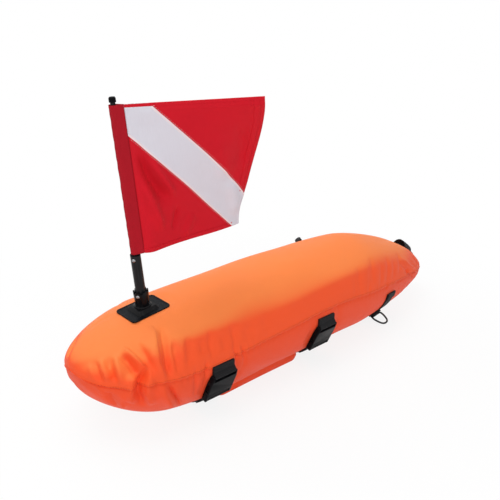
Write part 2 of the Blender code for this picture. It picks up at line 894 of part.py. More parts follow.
def make_flag(red, white, plastic, frame):
    run = Vector((flag_fly - stripe_width, flag_hoist - stripe_width, 0))
    across = Vector((run.y, -run.x, 0)).normalized()
    upper_edge = Vector((stripe_width, 0, 0))
    lower_edge = Vector((0, stripe_width, 0))
    half = across * clearance / 2
    flag_piece("flag_field_upper", [(upper_edge + half, -across)], red, frame)
    flag_piece("flag_stripe", [(upper_edge - half, across), (lower_edge + half, -across)], white, frame)
    flag_piece("flag_field_lower", [(lower_edge - half, across)], red, frame)

    steps = 12
    room = rod_radius + ferrule_wall + sleeve_room
    outline = []
    inner = []
    for thick, points in ((flag_cloth, outline), (0.0, inner)):
        radius = room + thick
        lean = math.acos(radius / (sleeve_depth + thick))
        for step in range(steps + 1):
            angle = lean + (math.tau - 2 * lean) * step / steps
            points.append((radius * math.cos(angle), radius * math.sin(angle)))
        points.append((sleeve_depth - (flag_cloth * 1.5 if thick == 0 else 0), 0.0))
    work = bmesh.new()
    low = flag_foot_height + ferrule_wall * 2 + clearance
    high = flag_foot_height + flag_hoist
    out_ring = [work.verts.new((x, y, low)) for x, y in outline]
    in_ring = [work.verts.new((x, y, low)) for x, y in inner]
    for here in range(len(outline)):
        back = here - 1
        work.faces.new((out_ring[back], out_ring[here], in_ring[here], in_ring[back]))
    grown = bmesh.ops.extrude_face_region(work, geom=work.faces[:])["geom"]
    bmesh.ops.translate(work, verts=[item for item in grown if isinstance(item, bmesh.types.BMVert)],
                        vec=(0, 0, high - low))
    bmesh.ops.rotate(work, verts=work.verts[:], cent=(0, 0, 0),
                     matrix=Matrix.Rotation(flag_heading, 3, "Z"))
    add_object("flag_sleeve", to_mesh("flag_sleeve", work), red, frame)

    columns = 12

    def place(column, row, under):
        along = sleeve_depth + clearance + batten_length * column / columns
        down = flag_cloth * 2 + batten_depth * row
        return flag_point(along, down, flag_cloth / 2 + clearance + batten_thickness * under)

    thick_sheet("top_batten", columns, 1, place, plastic, frame)


# Straps and buckles

def webbing_solid(name, station, outline, width, finish, reach=float_width / 2, cuts=2):
    """Webbing from a closed outline of (run down the side, height off the skin) points,
    as wide as given along the float and laid on the skin. Reach turns runs into angles."""
    work = bmesh.new()
    base = work.faces.new([work.verts.new((-width / 2, run, height)) for run, height in outline])
    faces = [base]
    for step in range(cuts):
        grown = bmesh.ops.extrude_face_region(work, geom=faces)["geom"]
        lifted = [item for item in grown if isinstance(item, bmesh.types.BMVert)]
        if step > 0:
            bmesh.ops.delete(work, geom=faces, context="FACES_ONLY")
        faces = [item for item in grown if isinstance(item, bmesh.types.BMFace)]
        bmesh.ops.translate(work, verts=lifted, vec=(width / cuts, 0, 0))
    bmesh.ops.triangulate(work, faces=[face for face in work.faces if len(face.verts) > 4])
    for vertex in work.verts:
        vertex.co = skin(station + vertex.co.x, -vertex.co.y / reach, vertex.co.z)
    return add_object(name, to_mesh(name, work), finish)


def run_of(angle):
    """Run down the side from the waist, on the scale of the float's half width."""
    return -angle * float_width / 2


def buckle_frame(station):
    return skin_matrix(station, buckle_angle, buckle_sink - webbing_lay)


def bar_cutters(target, label, end, toward, frame):
    """Leaves a webbing bar at one end of a buckle half: cuts above and below it and a slot.

    end is the local Y of that end, and toward is the direction from it into the body."""
    reach = wide_webbing + 4 * clearance
    zone = bar_size + slot_length
    side = (buckle_thickness - bar_size) / 2
    middle = end + toward * (zone - cut_overrun) / 2
    for word, height in (("over", buckle_thickness - (side - cut_overrun) / 2),
                         ("under", (side - cut_overrun) / 2)):
        cut(target, block_cutter(label + "_" + word, (reach, zone + cut_overrun, side + cut_overrun),
                                 (0, middle, height), None, frame))
    cut(target, block_cutter(label + "_slot", (reach, slot_length, buckle_thickness + cut_overrun),
                             (0, end + toward * (bar_size + slot_length / 2), buckle_thickness / 2),
                             None, frame))


def make_buckle(label, station, plastic, webbing):
    """A side-release buckle: female housing above, male half with its two arms below."""
    frame = frame_empty(label + "_buckle_frame", buckle_frame(station))
    half_length = (female_length + male_base_length) / 2
    low = 0.0
    high = buckle_thickness
    middle = (low + high) / 2
    # Local Y runs up the side, so the female half lies at +Y and the male half at -Y.
    join = half_length - female_length

    work = bmesh.new()
    taper = buckle_width * 0.06
    outline = [(-buckle_width / 2 + taper, half_length), (-buckle_width / 2, join + female_length * 0.6),
               (-buckle_width / 2, join), (buckle_width / 2, join),
               (buckle_width / 2, join + female_length * 0.6), (buckle_width / 2 - taper, half_length)]
    outline_prism(work, outline, low, high)
    rims = [edge for edge in work.edges if edge.calc_face_angle(0) > math.radians(60)
            and abs(edge.verts[0].co.y - join) + abs(edge.verts[1].co.y - join) > clearance]
    bmesh.ops.bevel(work, geom=rims, offset=buckle_bevel, segments=2, profile=0.5,
                    affect="EDGES", material=-1)
    female = add_object(label + "_buckle_female", to_mesh(label + "_buckle_female", work), plastic, frame)
    hollow_end = half_length - bar_size - slot_length - buckle_wall
    hollow = block_cutter(label + "_hollow",
                          (buckle_width - 2 * buckle_wall, hollow_end - join + cut_overrun,
                           buckle_thickness - 2 * buckle_wall),
                          (0, (hollow_end + join - cut_overrun) / 2, middle), None, frame)
    cut(female, hollow)
    window_start = join + buckle_wall * 2.2
    window = block_cutter(label + "_window",
                          (buckle_width + cut_overrun, window_length,
                           buckle_thickness - 2 * buckle_wall - 2 * running_gap),
                          (0, window_start + window_length / 2, middle), None, frame)
    cut(female, window)
    bar_cutters(female, label + "_female", half_length, -1, frame)

    male_high = join - running_gap
    male_low = -half_length
    work = bmesh.new()
    block(work, (buckle_width, male_high - male_low, buckle_thickness),
          (0, (male_high + male_low) / 2, middle))
    rims = [edge for edge in work.edges if edge.calc_face_angle(0) > math.radians(60)
            and min(edge.verts[0].co.y, edge.verts[1].co.y) < male_high - clearance]
    bmesh.ops.bevel(work, geom=rims, offset=buckle_bevel, segments=2, profile=0.5,
                    affect="EDGES", material=-1)
    male = add_object(label + "_buckle_male", to_mesh(label + "_buckle_male", work), plastic, frame)
    work = bmesh.new()
    block(work, (tongue_width, tongue_length + tongue_root, tongue_thickness),
          (0, male_high + (tongue_length - tongue_root) / 2, middle))
    tongue = bpy.data.objects.new(label + "_tongue", to_mesh(label + "_tongue", work))
    bpy.context.scene.collection.objects.link(tongue)
    tongue.parent = frame
    tongue.hide_render = True
    tongue.display_type = "WIRE"
    union = male.modifiers.new("tongue", "BOOLEAN")
    union.operation = "UNION"
    union.solver = "EXACT"
    union.object = tongue
    bar_cutters(male, label + "_male", male_low, 1, frame)

    # The arms are hinged by their own root at the male half's front face.
    root = male_high + clearance
    inner_wall = buckle_width / 2 - buckle_wall
    for side, letter in ((-1, "a"), (1, "b")):
        pivot = frame_empty(label + "_arm_pivot_" + letter,
                            Matrix.Translation((side * (inner_wall - arm_catch - arm_width / 2), root, middle)),
                            frame)
        tip = arm_length
        catch_start = window_start - root + running_gap
        catch_end = min(tip, catch_start + window_length - 2 * running_gap)
        outline = [(-arm_width / 2, arm_relief), (-arm_width / 8, 0), (arm_width / 8, 0),
                   (arm_width / 2, arm_relief), (arm_width / 2, catch_start),
                   (arm_width / 2 + arm_catch, catch_start),
                   (arm_width / 2 + arm_catch + buckle_wall, catch_start + arm_catch),
                   (arm_width / 2 + arm_catch, catch_end - arm_catch),
                   (arm_width / 4, catch_end), (-arm_width / 2, catch_end)]
        outline = [(side * x, y) for x, y in outline]
        if side < 0:
            outline.reverse()
        work = bmesh.new()
        outline_prism(work, outline, -arm_thickness / 2, arm_thickness / 2)
        add_object(label + "_buckle_arm_" + letter,
                   to_mesh(label + "_buckle_arm_" + letter, work), plastic, pivot)
    return frame


def eye_radius():
    """Outer radius of webbing wrapped round a bar."""
    return bar_size / math.sqrt(2) + clearance + webbing_thickness


def eye_arc(run, height, toward, steps=10):
    """The webbing's outside round a bar, from under the bar to over it."""
    points = []
    for step in range(steps + 1):
        angle = math.radians(-100 + 200 * step / steps)
        points.append((run + toward * eye_radius() * math.cos(angle),
                       height + eye_radius() * math.sin(angle)))
    return points


def bar_place(station, frame, local_y):
    """Run and height on the skin of a buckle's bar, and the frame of the bore round it."""
    local = Vector((0, local_y, buckle_thickness / 2))
    world = frame @ local
    angle = buckle_angle
    height = buckle_thickness / 2
    for step in range(12):
        here = skin(station, angle, height)
        by_angle = (skin(station, angle + probe_share, height) - here) / probe_share
        by_height = (skin(station, angle, height + clearance) - here) / clearance
        miss = world - here
        spread = by_angle.y * by_height.z - by_angle.z * by_height.y
        angle += (miss.y * by_height.z - miss.z * by_height.y) / spread
        height += (by_angle.y * miss.z - by_angle.z * miss.y) / spread
    place = frame @ Matrix.Translation(local) @ Matrix.Rotation(math.radians(90), 4, "Y")
    return run_of(angle), height, place


def belly_corner():
    """Angle below the waist where the straps' side meets their flat run on the floor."""
    lift = webbing_thickness + webbing_lay
    return math.asin((waist_height - lift) / (waist_height + belly_press))


def strap_runs(first, last, steps):
    """Runs of a strap's points, with one at each edge of its flat run."""
    marks = [run_of(-belly_corner()), run_of(belly_corner() - math.pi)]
    step = (last - first) / steps
    runs = [first + step * part for part in range(steps + 1)]
    return sorted(marks + [run for run in runs if min(abs(run - mark) for mark in marks) > step / 3])


def make_belted_side(label, station, plastic, webbing):
    frame = buckle_frame(station)
    make_buckle(label, station, plastic, webbing)
    half_length = (female_length + male_base_length) / 2
    bore = bar_size / math.sqrt(2) + clearance

    run, height, place = bar_place(station, frame, half_length - bar_size / 2)
    tail_end = run - height * 1.3
    pieces = 3
    tail = [(tail_end - tab_anchor_length * (1 - step / pieces), webbing_lay) for step in range(pieces + 1)]
    over = [(x, lay + 2 * webbing_thickness) for x, lay in tail[::-1]]
    tab = webbing_solid(label + "_tab", station, tail + eye_arc(run, height, 1) + over, wide_webbing, webbing)
    cut(tab, rod_cutter(label + "_tab_bore", bore, -buckle_width, buckle_width, place))

    run, height, place = bar_place(station, frame, bar_size / 2 - half_length)
    land = run + height * 1.3
    last = run_of(strap_far_angle)
    under = [(x, webbing_lay) for x in strap_runs(land, last, 22)[::-1]]
    over = [(x, lay + webbing_thickness) for x, lay in under[::-1]]
    strap = webbing_solid(label + "_strap", station, under + eye_arc(run, height, -1) + over,
                          wide_webbing, webbing)
    cut(strap, rod_cutter(label + "_strap_bore", bore, -buckle_width, buckle_width, place))


def make_rear_strap(webbing, steel):
    first = run_of(seam_angle)
    last = run_of(strap_far_angle)
    under = [(x, webbing_lay) for x in strap_runs(first, last, 24)]
    over = [(run, height + webbing_thickness) for run, height in under[::-1]]
    webbing_solid("rear_strap", rear_strap_station, under + over, rear_webbing, webbing)
    level = webbing_lay + webbing_thickness + clearance
    under = [(first + rear_tab_length * step / 2, level) for step in range(3)]
    over = [(run, height + webbing_thickness) for run, height in under[::-1]]
    webbing_solid("rear_tab", rear_strap_station, under + over, rear_webbing, webbing)

    # The ring's bar lies in a short loop sewn on the strap.
    base = level + ring_sag
    bar_height = base + webbing_thickness + clearance + ring_wire_radius
    place = skin_matrix(rear_strap_station, ring_angle, -bar_height)
    pivot = frame_empty("ring_pivot", place)
    half = ring_loop_length / 2
    foot = base - bar_height
    wrap = ring_wire_radius + clearance
    outer = wrap + webbing_thickness
    arch = [(-half, foot), (half, foot), (half, foot + webbing_thickness), (outer, 0), (wrap, outer),
            (-wrap, outer), (-outer, 0), (-half, foot + webbing_thickness)]
    work = bmesh.new()
    loop_width = ring_width - 5 * ring_wire_radius
    outline_prism(work, arch, -loop_width / 2, loop_width / 2)
    turn = Matrix(((0, 0, 1, 0), (1, 0, 0, 0), (0, 1, 0, 0), (0, 0, 0, 1)))
    bmesh.ops.transform(work, matrix=place @ turn, verts=work.verts[:])
    loop = add_object("ring_loop", to_mesh("ring_loop", work), webbing)
    hole = rod_cutter("ring_loop_hole", wrap, -ring_width, ring_width,
                      place @ Matrix.Rotation(math.radians(90), 4, "Y"))
    cut(loop, hole)
    # The ring leans out and down, so that its bow lies on the floor.
    drop = place.translation.z - ring_wire_radius
    reach = ring_depth
    world_lean = -math.asin(min(drop / reach, 1.0))
    normal = place.to_3x3() @ Vector((0, 0, 1))
    out_lean = math.atan2(normal.z, -normal.y)
    swing = out_lean - world_lean
    half_wide = ring_width / 2 - ring_wire_radius
    route = []
    bow = half_wide
    for step in range(ring_arc_points + 1):
        angle = math.pi * step / ring_arc_points
        route.append((half_wide * math.cos(angle), (reach - bow) + bow * math.sin(angle)))
    route = [(half_wide, 0)] + route + [(-half_wide, 0)]
    curve = bpy.data.curves.new("d_ring", "CURVE")
    curve.dimensions = "3D"
    curve.bevel_depth = ring_wire_radius
    curve.bevel_resolution = 1
    spline = curve.splines.new("POLY")
    spline.points.add(len(route) - 1)
    turn = Matrix.Rotation(0, 3, "X")
    for point, (x, out) in zip(spline.points, route):
        lean = Vector((x, out * math.sin(swing) * -1, out * math.cos(swing)))
        point.co = (*(turn @ lean), 1)
    spline.use_cyclic_u = True
    ring = bpy.data.objects.new("d_ring", curve)
    bpy.context.scene.collection.objects.link(ring)
    curve.materials.append(steel)
    ring.parent = pivot


def make_grab_loop(webbing):
    """A short webbing arch across the back, just before the far tip."""
    reach = local_reach(grab_station, grab_angle)
    middle = -grab_angle * reach
    steps = 12
    outer = []
    inner = []
    for thick, points in ((webbing_thickness, outer), (0.0, inner)):
        for part in range(steps + 1):
            angle = math.pi * part / steps
            bulge = 1 - 0.25 * math.sin(angle)
            rise = (grab_rise - webbing_thickness + thick) * math.sin(angle)
            points.append((middle + (grab_span / 2 + thick) * math.cos(angle) * bulge,
                           webbing_lay + max(rise, thick)))
    spread = grab_span / 2 + webbing_thickness + grab_foot
    outline = ([(middle + spread, webbing_lay), (middle + spread, webbing_lay + webbing_thickness)]
               + outer + [(middle - spread, webbing_lay + webbing_thickness),
                          (middle - spread, webbing_lay)] + inner[::-1])
    webbing_solid("grab_loop", grab_station, outline, grab_webbing, webbing, reach, 3)


# Zip

def zip_frame(station):
    """Frame on the far seam: X along the zip, Y up across it, Z out of the float."""
    return skin_matrix(station, math.pi - seam_angle, 0.0)


def make_zip(cloth, plastic, steel):
    columns = 14
    far_seam = math.pi - seam_angle
    reach = float_width / 2
    for name, sign in (("zip_tape_upper", -1), ("zip_tape_lower", 1)):

        def place(column, row, under, sign=sign):
            station = zip_near_station + (zip_far_station - zip_near_station) * column / columns
            run = zip_split / 2 + (zip_tape_width - zip_split / 2) * row / 2
            outset = clearance + zip_tape_thickness * under
            return skin(station, far_seam + sign * run / reach, outset)

        thick_sheet(name, columns, 2, place, cloth)

    length = zip_far_station - zip_near_station
    frame = frame_empty("zip_frame", zip_frame((zip_near_station + zip_far_station) / 2))
    base = clearance * 2 + zip_tape_thickness
    count = int(length / tooth_pitch) - 1
    start = -count * tooth_pitch / 2
    for name, sign, shift in (("zip_teeth_upper", 1, 0.0), ("zip_teeth_lower", -1, tooth_pitch / 2)):
        outline = [(start + count * tooth_pitch, sign * chain_half_width), (start, sign * chain_half_width)]
        inner = sign * (tooth_reach + running_gap)
        outline.append((start, inner))
        for tooth in range(count):
            left = start + tooth * tooth_pitch + tooth_pitch / 4 - tooth_width / 2 + shift
            for x, y in ((left, inner), (left, -sign * tooth_reach),
                         (left + tooth_width, -sign * tooth_reach), (left + tooth_width, inner)):
                if x <= start + count * tooth_pitch:
                    outline.append((x, y))
        outline.append((start + count * tooth_pitch, inner))
        work = bmesh.new()
        outline_prism(work, outline, base, base + chain_thickness)
        bmesh.ops.triangulate(work, faces=[face for face in work.faces if len(face.verts) > 4])
        add_object(name, to_mesh(name, work), plastic, frame)

    # The slider straddles the chain, with a bail on its back for the pull.
    slide_x = -start - slider_length
    pivot = frame_empty("zip_slider_place", Matrix.Translation((slide_x, 0, 0)), frame)
    chain_top = base + chain_thickness
    half = chain_half_width + running_gap
    foot = base
    roof = chain_top + running_gap
    section = [(-half - slider_cheek, foot), (-half, foot), (-half, roof), (half, roof), (half, foot),
               (half + slider_cheek, foot), (half + slider_cheek, roof + slider_plate),
               (-half - slider_cheek, roof + slider_plate)]
    work = bmesh.new()
    outline_prism(work, section, -slider_length / 2, slider_length / 2)
    turn = Matrix(((0, 0, 1, 0), (1, 0, 0, 0), (0, 1, 0, 0), (0, 0, 0, 1)))
    bmesh.ops.transform(work, matrix=turn, verts=work.verts[:])
    slider = add_object("zip_slider", to_mesh("zip_slider", work), steel, pivot)
    deck = roof + slider_plate
    bail_wire = bail_bar_radius * 2
    work = bmesh.new()
    outline_prism(work, [(-bail_length / 2, deck - slider_plate / 2), (-bail_length / 2, deck + bail_height),
                         (bail_length / 2, deck + bail_height), (bail_length / 2, deck - slider_plate / 2),
                         (bail_length / 2 - bail_wire, deck - slider_plate / 2),
                         (bail_length / 2 - bail_wire, deck + bail_height - bail_wire),
                         (bail_wire - bail_length / 2, deck + bail_height - bail_wire),
                         (bail_wire - bail_length / 2, deck - slider_plate / 2)],
                  -bail_bar_radius, bail_bar_radius)
    bmesh.ops.transform(work, matrix=Matrix.Rotation(math.radians(90), 4, "X"), verts=work.verts[:])
    bail = bpy.data.objects.new("slider_bail", to_mesh("slider_bail", work))
    bpy.context.scene.collection.objects.link(bail)
    bail.parent = pivot
    bail.hide_render = True
    bail.display_type = "WIRE"
    union = slider.modifiers.new("bail", "BOOLEAN")
    union.operation = "UNION"
    union.solver = "EXACT"
    union.object = bail

    hinge_z = deck + (bail_height - bail_wire) / 2
    hinge = frame_empty("zip_pull_hinge", Matrix.Translation((0, 0, hinge_z)), pivot)
    work = bmesh.new()
    shift = pull_length / 2 - bail_bar_radius
    outer = rounded_rectangle(pull_length, pull_width, pull_width / 3, 3)
    outline_prism(work, [(x + shift, y) for x, y in outer], -pull_thickness / 2, pull_thickness / 2)
    pull = add_object("zip_pull", to_mesh("zip_pull", work), steel, hinge)
    window = bail_length - bail_bar_radius
    hole = block_cutter("zip_pull_hole", (window, 2 * bail_bar_radius + 4 * running_gap,
                                          pull_thickness + cut_overrun),
                        (bail_bar_radius + window / 2, 0, 0), None, hinge)
    cut(pull, hole)


# Valve

def make_valve(plastic, rubber, steel, cover, bladder):
    frame = frame_empty("valve_frame", valve_matrix())
    cover_hole = rod_cutter("valve_cover_hole", valve_neck_radius + clearance * 2, -valve_flange_radius,
                            valve_flange_radius, valve_matrix(), None, 24)
    cut(cover, cover_hole)
    bladder_hole = rod_cutter("valve_bladder_hole", valve_bore - clearance, -valve_flange_radius,
                              valve_flange_radius, valve_matrix(), None, 24)
    cut(bladder, bladder_hole)
    low = valve_sink - cover_thickness - bladder_gap + clearance
    step = low + valve_flange_thickness
    turned("valve_flange", [
        (valve_bore, low), (valve_flange_radius, low), (valve_flange_radius, step),
        (valve_neck_radius, step), (valve_neck_radius, valve_neck_rise), (valve_bore, valve_neck_rise)],
        rubber, frame, 28)
    fit = valve_bore - clearance
    collar = valve_neck_rise + clearance
    collar_top = collar + valve_collar_thickness
    turned("valve_body", [
        (valve_body_bore, low), (fit, low), (fit, collar), (valve_collar_radius, collar),
        (valve_collar_radius, collar_top), (fit, collar_top), (fit, valve_body_rise),
        (valve_body_bore, valve_body_rise)], plastic, frame, 28)
    ring_low = collar_top + clearance
    ring_top = ring_low + lock_ring_height
    ring_bore = fit + running_gap
    ring = turned("valve_lock_ring", [
        (ring_bore, ring_low), (lock_ring_radius, ring_low),
        (lock_ring_radius, ring_top - lock_ring_height / 5),
        (lock_ring_radius - lock_ring_height / 5, ring_top), (ring_bore, ring_top)], plastic, frame, 30)
    grip = lock_ring_radius * math.pi / lock_ring_grips / 3
    for place in range(lock_ring_grips):
        turn = (Matrix.Rotation(math.tau * place / lock_ring_grips, 4, "Z")
                @ Matrix.Translation((lock_ring_radius + grip / 2, 0, 0)))
        cut(ring, rod_cutter("lock_grip_%d" % place, grip, ring_low - cut_overrun, ring_top + cut_overrun,
                             turn, frame, 8))
    mouth_low = low + mouth_travel + clearance
    wall = mouth_radius
    turned("valve_mouthpiece", [
        (mouth_bore, mouth_low), (wall, mouth_low), (wall, mouth_rise - mouth_lip / 3),
        (mouth_lip, mouth_rise - mouth_lip / 4), (mouth_lip, mouth_rise - mouth_lip / 8),
        (wall, mouth_rise), (mouth_bore, mouth_rise)], plastic, frame, 24)
    cap_inner = mouth_lip + clearance
    cap_outer = cap_inner + cap_wall
    cap_top = mouth_rise + clearance
    cap_low = cap_top - cap_height
    turned("valve_cap", [
        (cap_inner, cap_low), (cap_outer, cap_low), (cap_outer, cap_top + cap_wall / 2),
        (cap_outer - cap_wall / 2, cap_top + cap_wall), (0.0, cap_top + cap_wall), (0.0, cap_top),
        (cap_inner, cap_top)], rubber, frame, 24)


def make_float():
    clear_scene()
    orange = material("orange nylon", (1.0, 0.24, 0.05), 0.55)
    belly = material("orange belly nylon", (0.9, 0.18, 0.04), 0.6)
    clear_film = material("bladder film", (0.75, 0.75, 0.72), 0.4)
    black_webbing = material("black webbing", (0.02, 0.02, 0.022), 0.8)
    black_plastic = material("black plastic", (0.025, 0.025, 0.028), 0.4)
    black_rubber = material("black rubber", (0.03, 0.03, 0.035), 0.6)
    carbon = material("woven tube", (0.03, 0.03, 0.03), 0.3)
    red_cloth = material("red cloth", (0.72, 0.02, 0.06), 0.6)
    white_cloth = material("white cloth", (0.85, 0.82, 0.85), 0.6)
    steel = material("bright steel", (0.75, 0.75, 0.75), 0.25, 1.0)
    black_steel = material("black steel", (0.03, 0.03, 0.03), 0.35, 1.0)
    lead = material("lead", (0.35, 0.36, 0.38), 0.6, 1.0)

    upper = cover_panel("cover_upper", upper_angles(), orange)
    cover_panel("cover_lower", lower_angles(), belly)
    bladder = make_bladder(clear_film)
    blank = skin_blank("skin_blank", pocket_gap)
    make_pocket(belly, lead, blank)

    mast = frame_empty("mast_frame", mast_matrix())
    make_socket(black_rubber, black_plastic, mast)
    make_mast(carbon, black_plastic, steel, mast)
    make_flag(red_cloth, white_cloth, black_plastic, mast)

    make_belted_side("front", front_strap_station, black_plastic, black_webbing)
    make_belted_side("middle", middle_strap_station, black_plastic, black_webbing)
    make_rear_strap(black_webbing, black_steel)
    make_grab_loop(black_webbing)

    make_zip(black_webbing, black_plastic, steel)
    make_valve(black_plastic, black_rubber, steel, upper, bladder)


make_float()
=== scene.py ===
"""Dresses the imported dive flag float: cover cloth, flag, webbing, mouldings, camera and light.

Metres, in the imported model's frame. Station runs along the float from its near tip. Angle
runs round it: 0 is the near side, 90 degrees is the back, 180 is the far side.
"""
import json
import math
from math import cos, pi, radians, sin, tau

import bmesh
import bpy
import numpy as np
from mathutils import Matrix, Vector


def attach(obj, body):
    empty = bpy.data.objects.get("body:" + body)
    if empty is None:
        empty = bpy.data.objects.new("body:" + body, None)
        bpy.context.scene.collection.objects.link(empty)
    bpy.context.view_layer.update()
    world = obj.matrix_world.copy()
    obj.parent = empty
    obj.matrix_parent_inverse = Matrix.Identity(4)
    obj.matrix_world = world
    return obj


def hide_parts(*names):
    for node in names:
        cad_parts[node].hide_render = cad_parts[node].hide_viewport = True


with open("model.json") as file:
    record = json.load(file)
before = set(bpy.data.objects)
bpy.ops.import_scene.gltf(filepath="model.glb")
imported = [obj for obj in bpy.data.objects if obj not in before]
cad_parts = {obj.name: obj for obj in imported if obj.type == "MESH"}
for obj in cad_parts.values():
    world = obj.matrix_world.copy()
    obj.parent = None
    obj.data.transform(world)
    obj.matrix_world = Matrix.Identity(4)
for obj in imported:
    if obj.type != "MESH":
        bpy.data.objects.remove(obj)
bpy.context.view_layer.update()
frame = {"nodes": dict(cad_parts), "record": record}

# The float's form, as in the solids. A taper has the near and the far end's length.
float_length, float_width, float_height = 1.060, 0.238, 0.222
back_drop, waist_height, belly_press = 0.030, 0.104, 0.006
near_tip_height, far_tip_height = 0.135, 0.050
tapers = {"back": (0.167, 0.343), "belly": (0.228, 0.348), "side": (0.142, 0.375)}
near_nose_power, far_nose_power = 1.64, 1.30
cover_thickness, ramp_length, clearance, webbing_lay = 0.0012, 0.012, 0.0003, 0.0005
wide_webbing, rear_webbing, webbing_thickness = 0.050, 0.040, 0.0020
strap_stations = {"front": 0.233, "middle": 0.521, "rear": 0.785}
strap_widths = {"front": wide_webbing, "middle": wide_webbing, "rear": rear_webbing}
strap_far_angle, strap_side_room = radians(-160), 0.001
pocket_start, pocket_end = 0.262, 0.492
pocket_depth, pocket_width, pocket_corner = 0.0130, 0.152, 0.016
mast_station, mast_lean, mast_sink = 0.1455, radians(7.2), 0.0046
valve_station, valve_angle, valve_sink, valve_neck = 0.690, radians(148), 0.0030, 0.0120
buckle_angle, buckle_sink = radians(-20), 0.0046
mast_pad, valve_pad, buckle_pad = (0.047, 0.022), (0.026, 0.020), (0.040, 0.022)
buckle_thickness, female_length, male_base_length, bar_size = 0.0120, 0.044, 0.019, 0.0044
flag_foot_height, flag_hoist, flag_fly, flag_cloth = 0.1076, 0.254, 0.2312, 0.0008
flag_heading, sleeve_depth = radians(-42), 0.0160
flag_turn, turn_start, turn_span, turn_depth_power = radians(41.4), 0.0175, 0.022, 1.62
flag_sag, flag_stiff, foot_rise, batten_end = 0.0114, 0.0118, 0.0035, 0.2263
rod_radius, ferrule_wall, sleeve_room = 0.0040, 0.0012, 0.0011
zip_start, zip_end, zip_tape_width = 0.275, 0.620, 0.014
far_seam = radians(187)
ring_angle, ring_wire, ring_width, ring_depth, ring_loop_length = radians(-52), 0.0022, 0.042, 0.034, 0.017
grab_station, grab_webbing, grab_rise, grab_span = 1.010, 0.038, 0.020, 0.034
grab_angle, grab_foot = radians(104), 0.010
near_end = -float_length / 2
side_radius = float_width / 2
tiny, merge_gap = 1e-9, 1e-6


# The skin

def nose(share, power):
    return np.sqrt(np.maximum(1 - (1 - np.clip(share, 0, 1)) ** power, 0))


def ease(value):
    held = np.clip(value, 0, 1)
    return held * held * (3 - 2 * held)


def same_shape(*values):
    return np.broadcast_arrays(*(np.asarray(value, float) for value in values))


def bare_skin(station, angle):
    """Points of the bare float for arrays of stations and angles."""
    station, angle = same_shape(station, angle)
    share = station / float_length
    blend = 0.5 + 0.5 * np.tanh(5 * (share - 0.5))
    tip = near_tip_height * (1 - blend) + far_tip_height * blend
    ahead = float_length - station
    back, belly, side = (nose(station / near, near_nose_power) * nose(ahead / far, far_nose_power)
                         for near, far in tapers.values())
    top = tip + (float_height - back_drop * (2 * share - 1) ** 2 - tip) * back
    low = tip * (1 - belly) - belly_press * belly
    waist = tip + (waist_height - tip) * side
    rise = np.where(np.sin(angle) > 0, top - waist, waist - low)
    return np.stack([near_end + station, -side_radius * side * np.cos(angle),
                     waist + rise * np.sin(angle)], axis=-1)


def unit(rows):
    return rows / np.maximum(np.linalg.norm(rows, axis=-1, keepdims=True), tiny)


def outward(station, angle):
    """The skin's direction outwards at each place."""
    station, angle = same_shape(station, angle)
    held = np.clip(station, clearance / 10, float_length - clearance / 10)
    step = np.minimum(np.minimum(held, float_length - held) * 0.01, clearance)
    along = bare_skin(held + step, angle) - bare_skin(held - step, angle)
    around = bare_skin(held, angle + 0.01) - bare_skin(held, angle - 0.01)
    out = unit(np.cross(around, along))
    out[np.sum(out * (bare_skin(held, angle) - np.array([0, 0, waist_height])), axis=-1) < 0] *= -1
    return out


def skin_frame(station, angle, sink):
    """A frame on the skin: X along the float, Z outwards, sunk by the given depth."""
    out = Vector(outward(station, angle))
    ahead = (Vector((1, 0, 0)) - out * out.x).normalized()
    turned = Matrix((ahead, out.cross(ahead), out)).transposed().to_4x4()
    return Matrix.Translation(Vector(bare_skin(station, angle)) - out * sink) @ turned


mast_frame = (Matrix.Translation(Vector(bare_skin(mast_station, radians(90))))
              @ Matrix.Rotation(-mast_lean, 4, "Y") @ Matrix.Translation((0, 0, -mast_sink)))
valve_frame = skin_frame(valve_station, valve_angle, valve_sink)
buckles = ("front", "middle")
buckle_frames = {label: skin_frame(strap_stations[label], buckle_angle, buckle_sink - webbing_lay)
                 for label in buckles}
flat_places = [(mast_frame, *mast_pad), (valve_frame, *valve_pad)]
flat_places += [(skin_frame(strap_stations[label], buckle_angle, buckle_sink), *buckle_pad)
                for label in buckles]


def belly_lift(station):
    """Height that the straps and the pocket press the belly up above the floor."""
    inside = (pocket_end - pocket_start) / 2 - np.abs(station - (pocket_start + pocket_end) / 2)
    lift = (pocket_depth + clearance) * ease((inside + clearance) / ramp_length)
    for label, width in strap_widths.items():
        away = np.abs(station - strap_stations[label]) - width / 2 - strap_side_room
        lift = np.maximum(lift, (webbing_thickness + webbing_lay) * (1 - ease(away / ramp_length)))
    return lift


def through(matrix, rows):
    """The rows as points, moved by the matrix."""
    table = np.array(matrix)
    return rows @ table[:3, :3].T + table[:3, 3]


def skin(station, angle, outset=0.0):
    """Points off the dressed skin, which lies flat on the floor and under what presses it."""
    station, angle, outset = same_shape(station, angle, outset)
    points = bare_skin(station, angle) + outward(station, angle) * outset[..., None]
    points[..., 2] = np.maximum(points[..., 2], belly_lift(station) - outset)
    for matrix, radius, fall in flat_places:
        local = through(matrix.inverted(), points)
        spread = np.hypot(local[..., 0], local[..., 1])
        above = local[..., 2] - outset
        near = (above > 0) & (spread < radius + fall) & (local[..., 2] > -radius)
        local[..., 2] -= np.where(near, above * (1 - ease((spread - radius) / fall)), 0)
        points = np.where(near[..., None], through(matrix, local), points)
    return points


# Folds of cloth

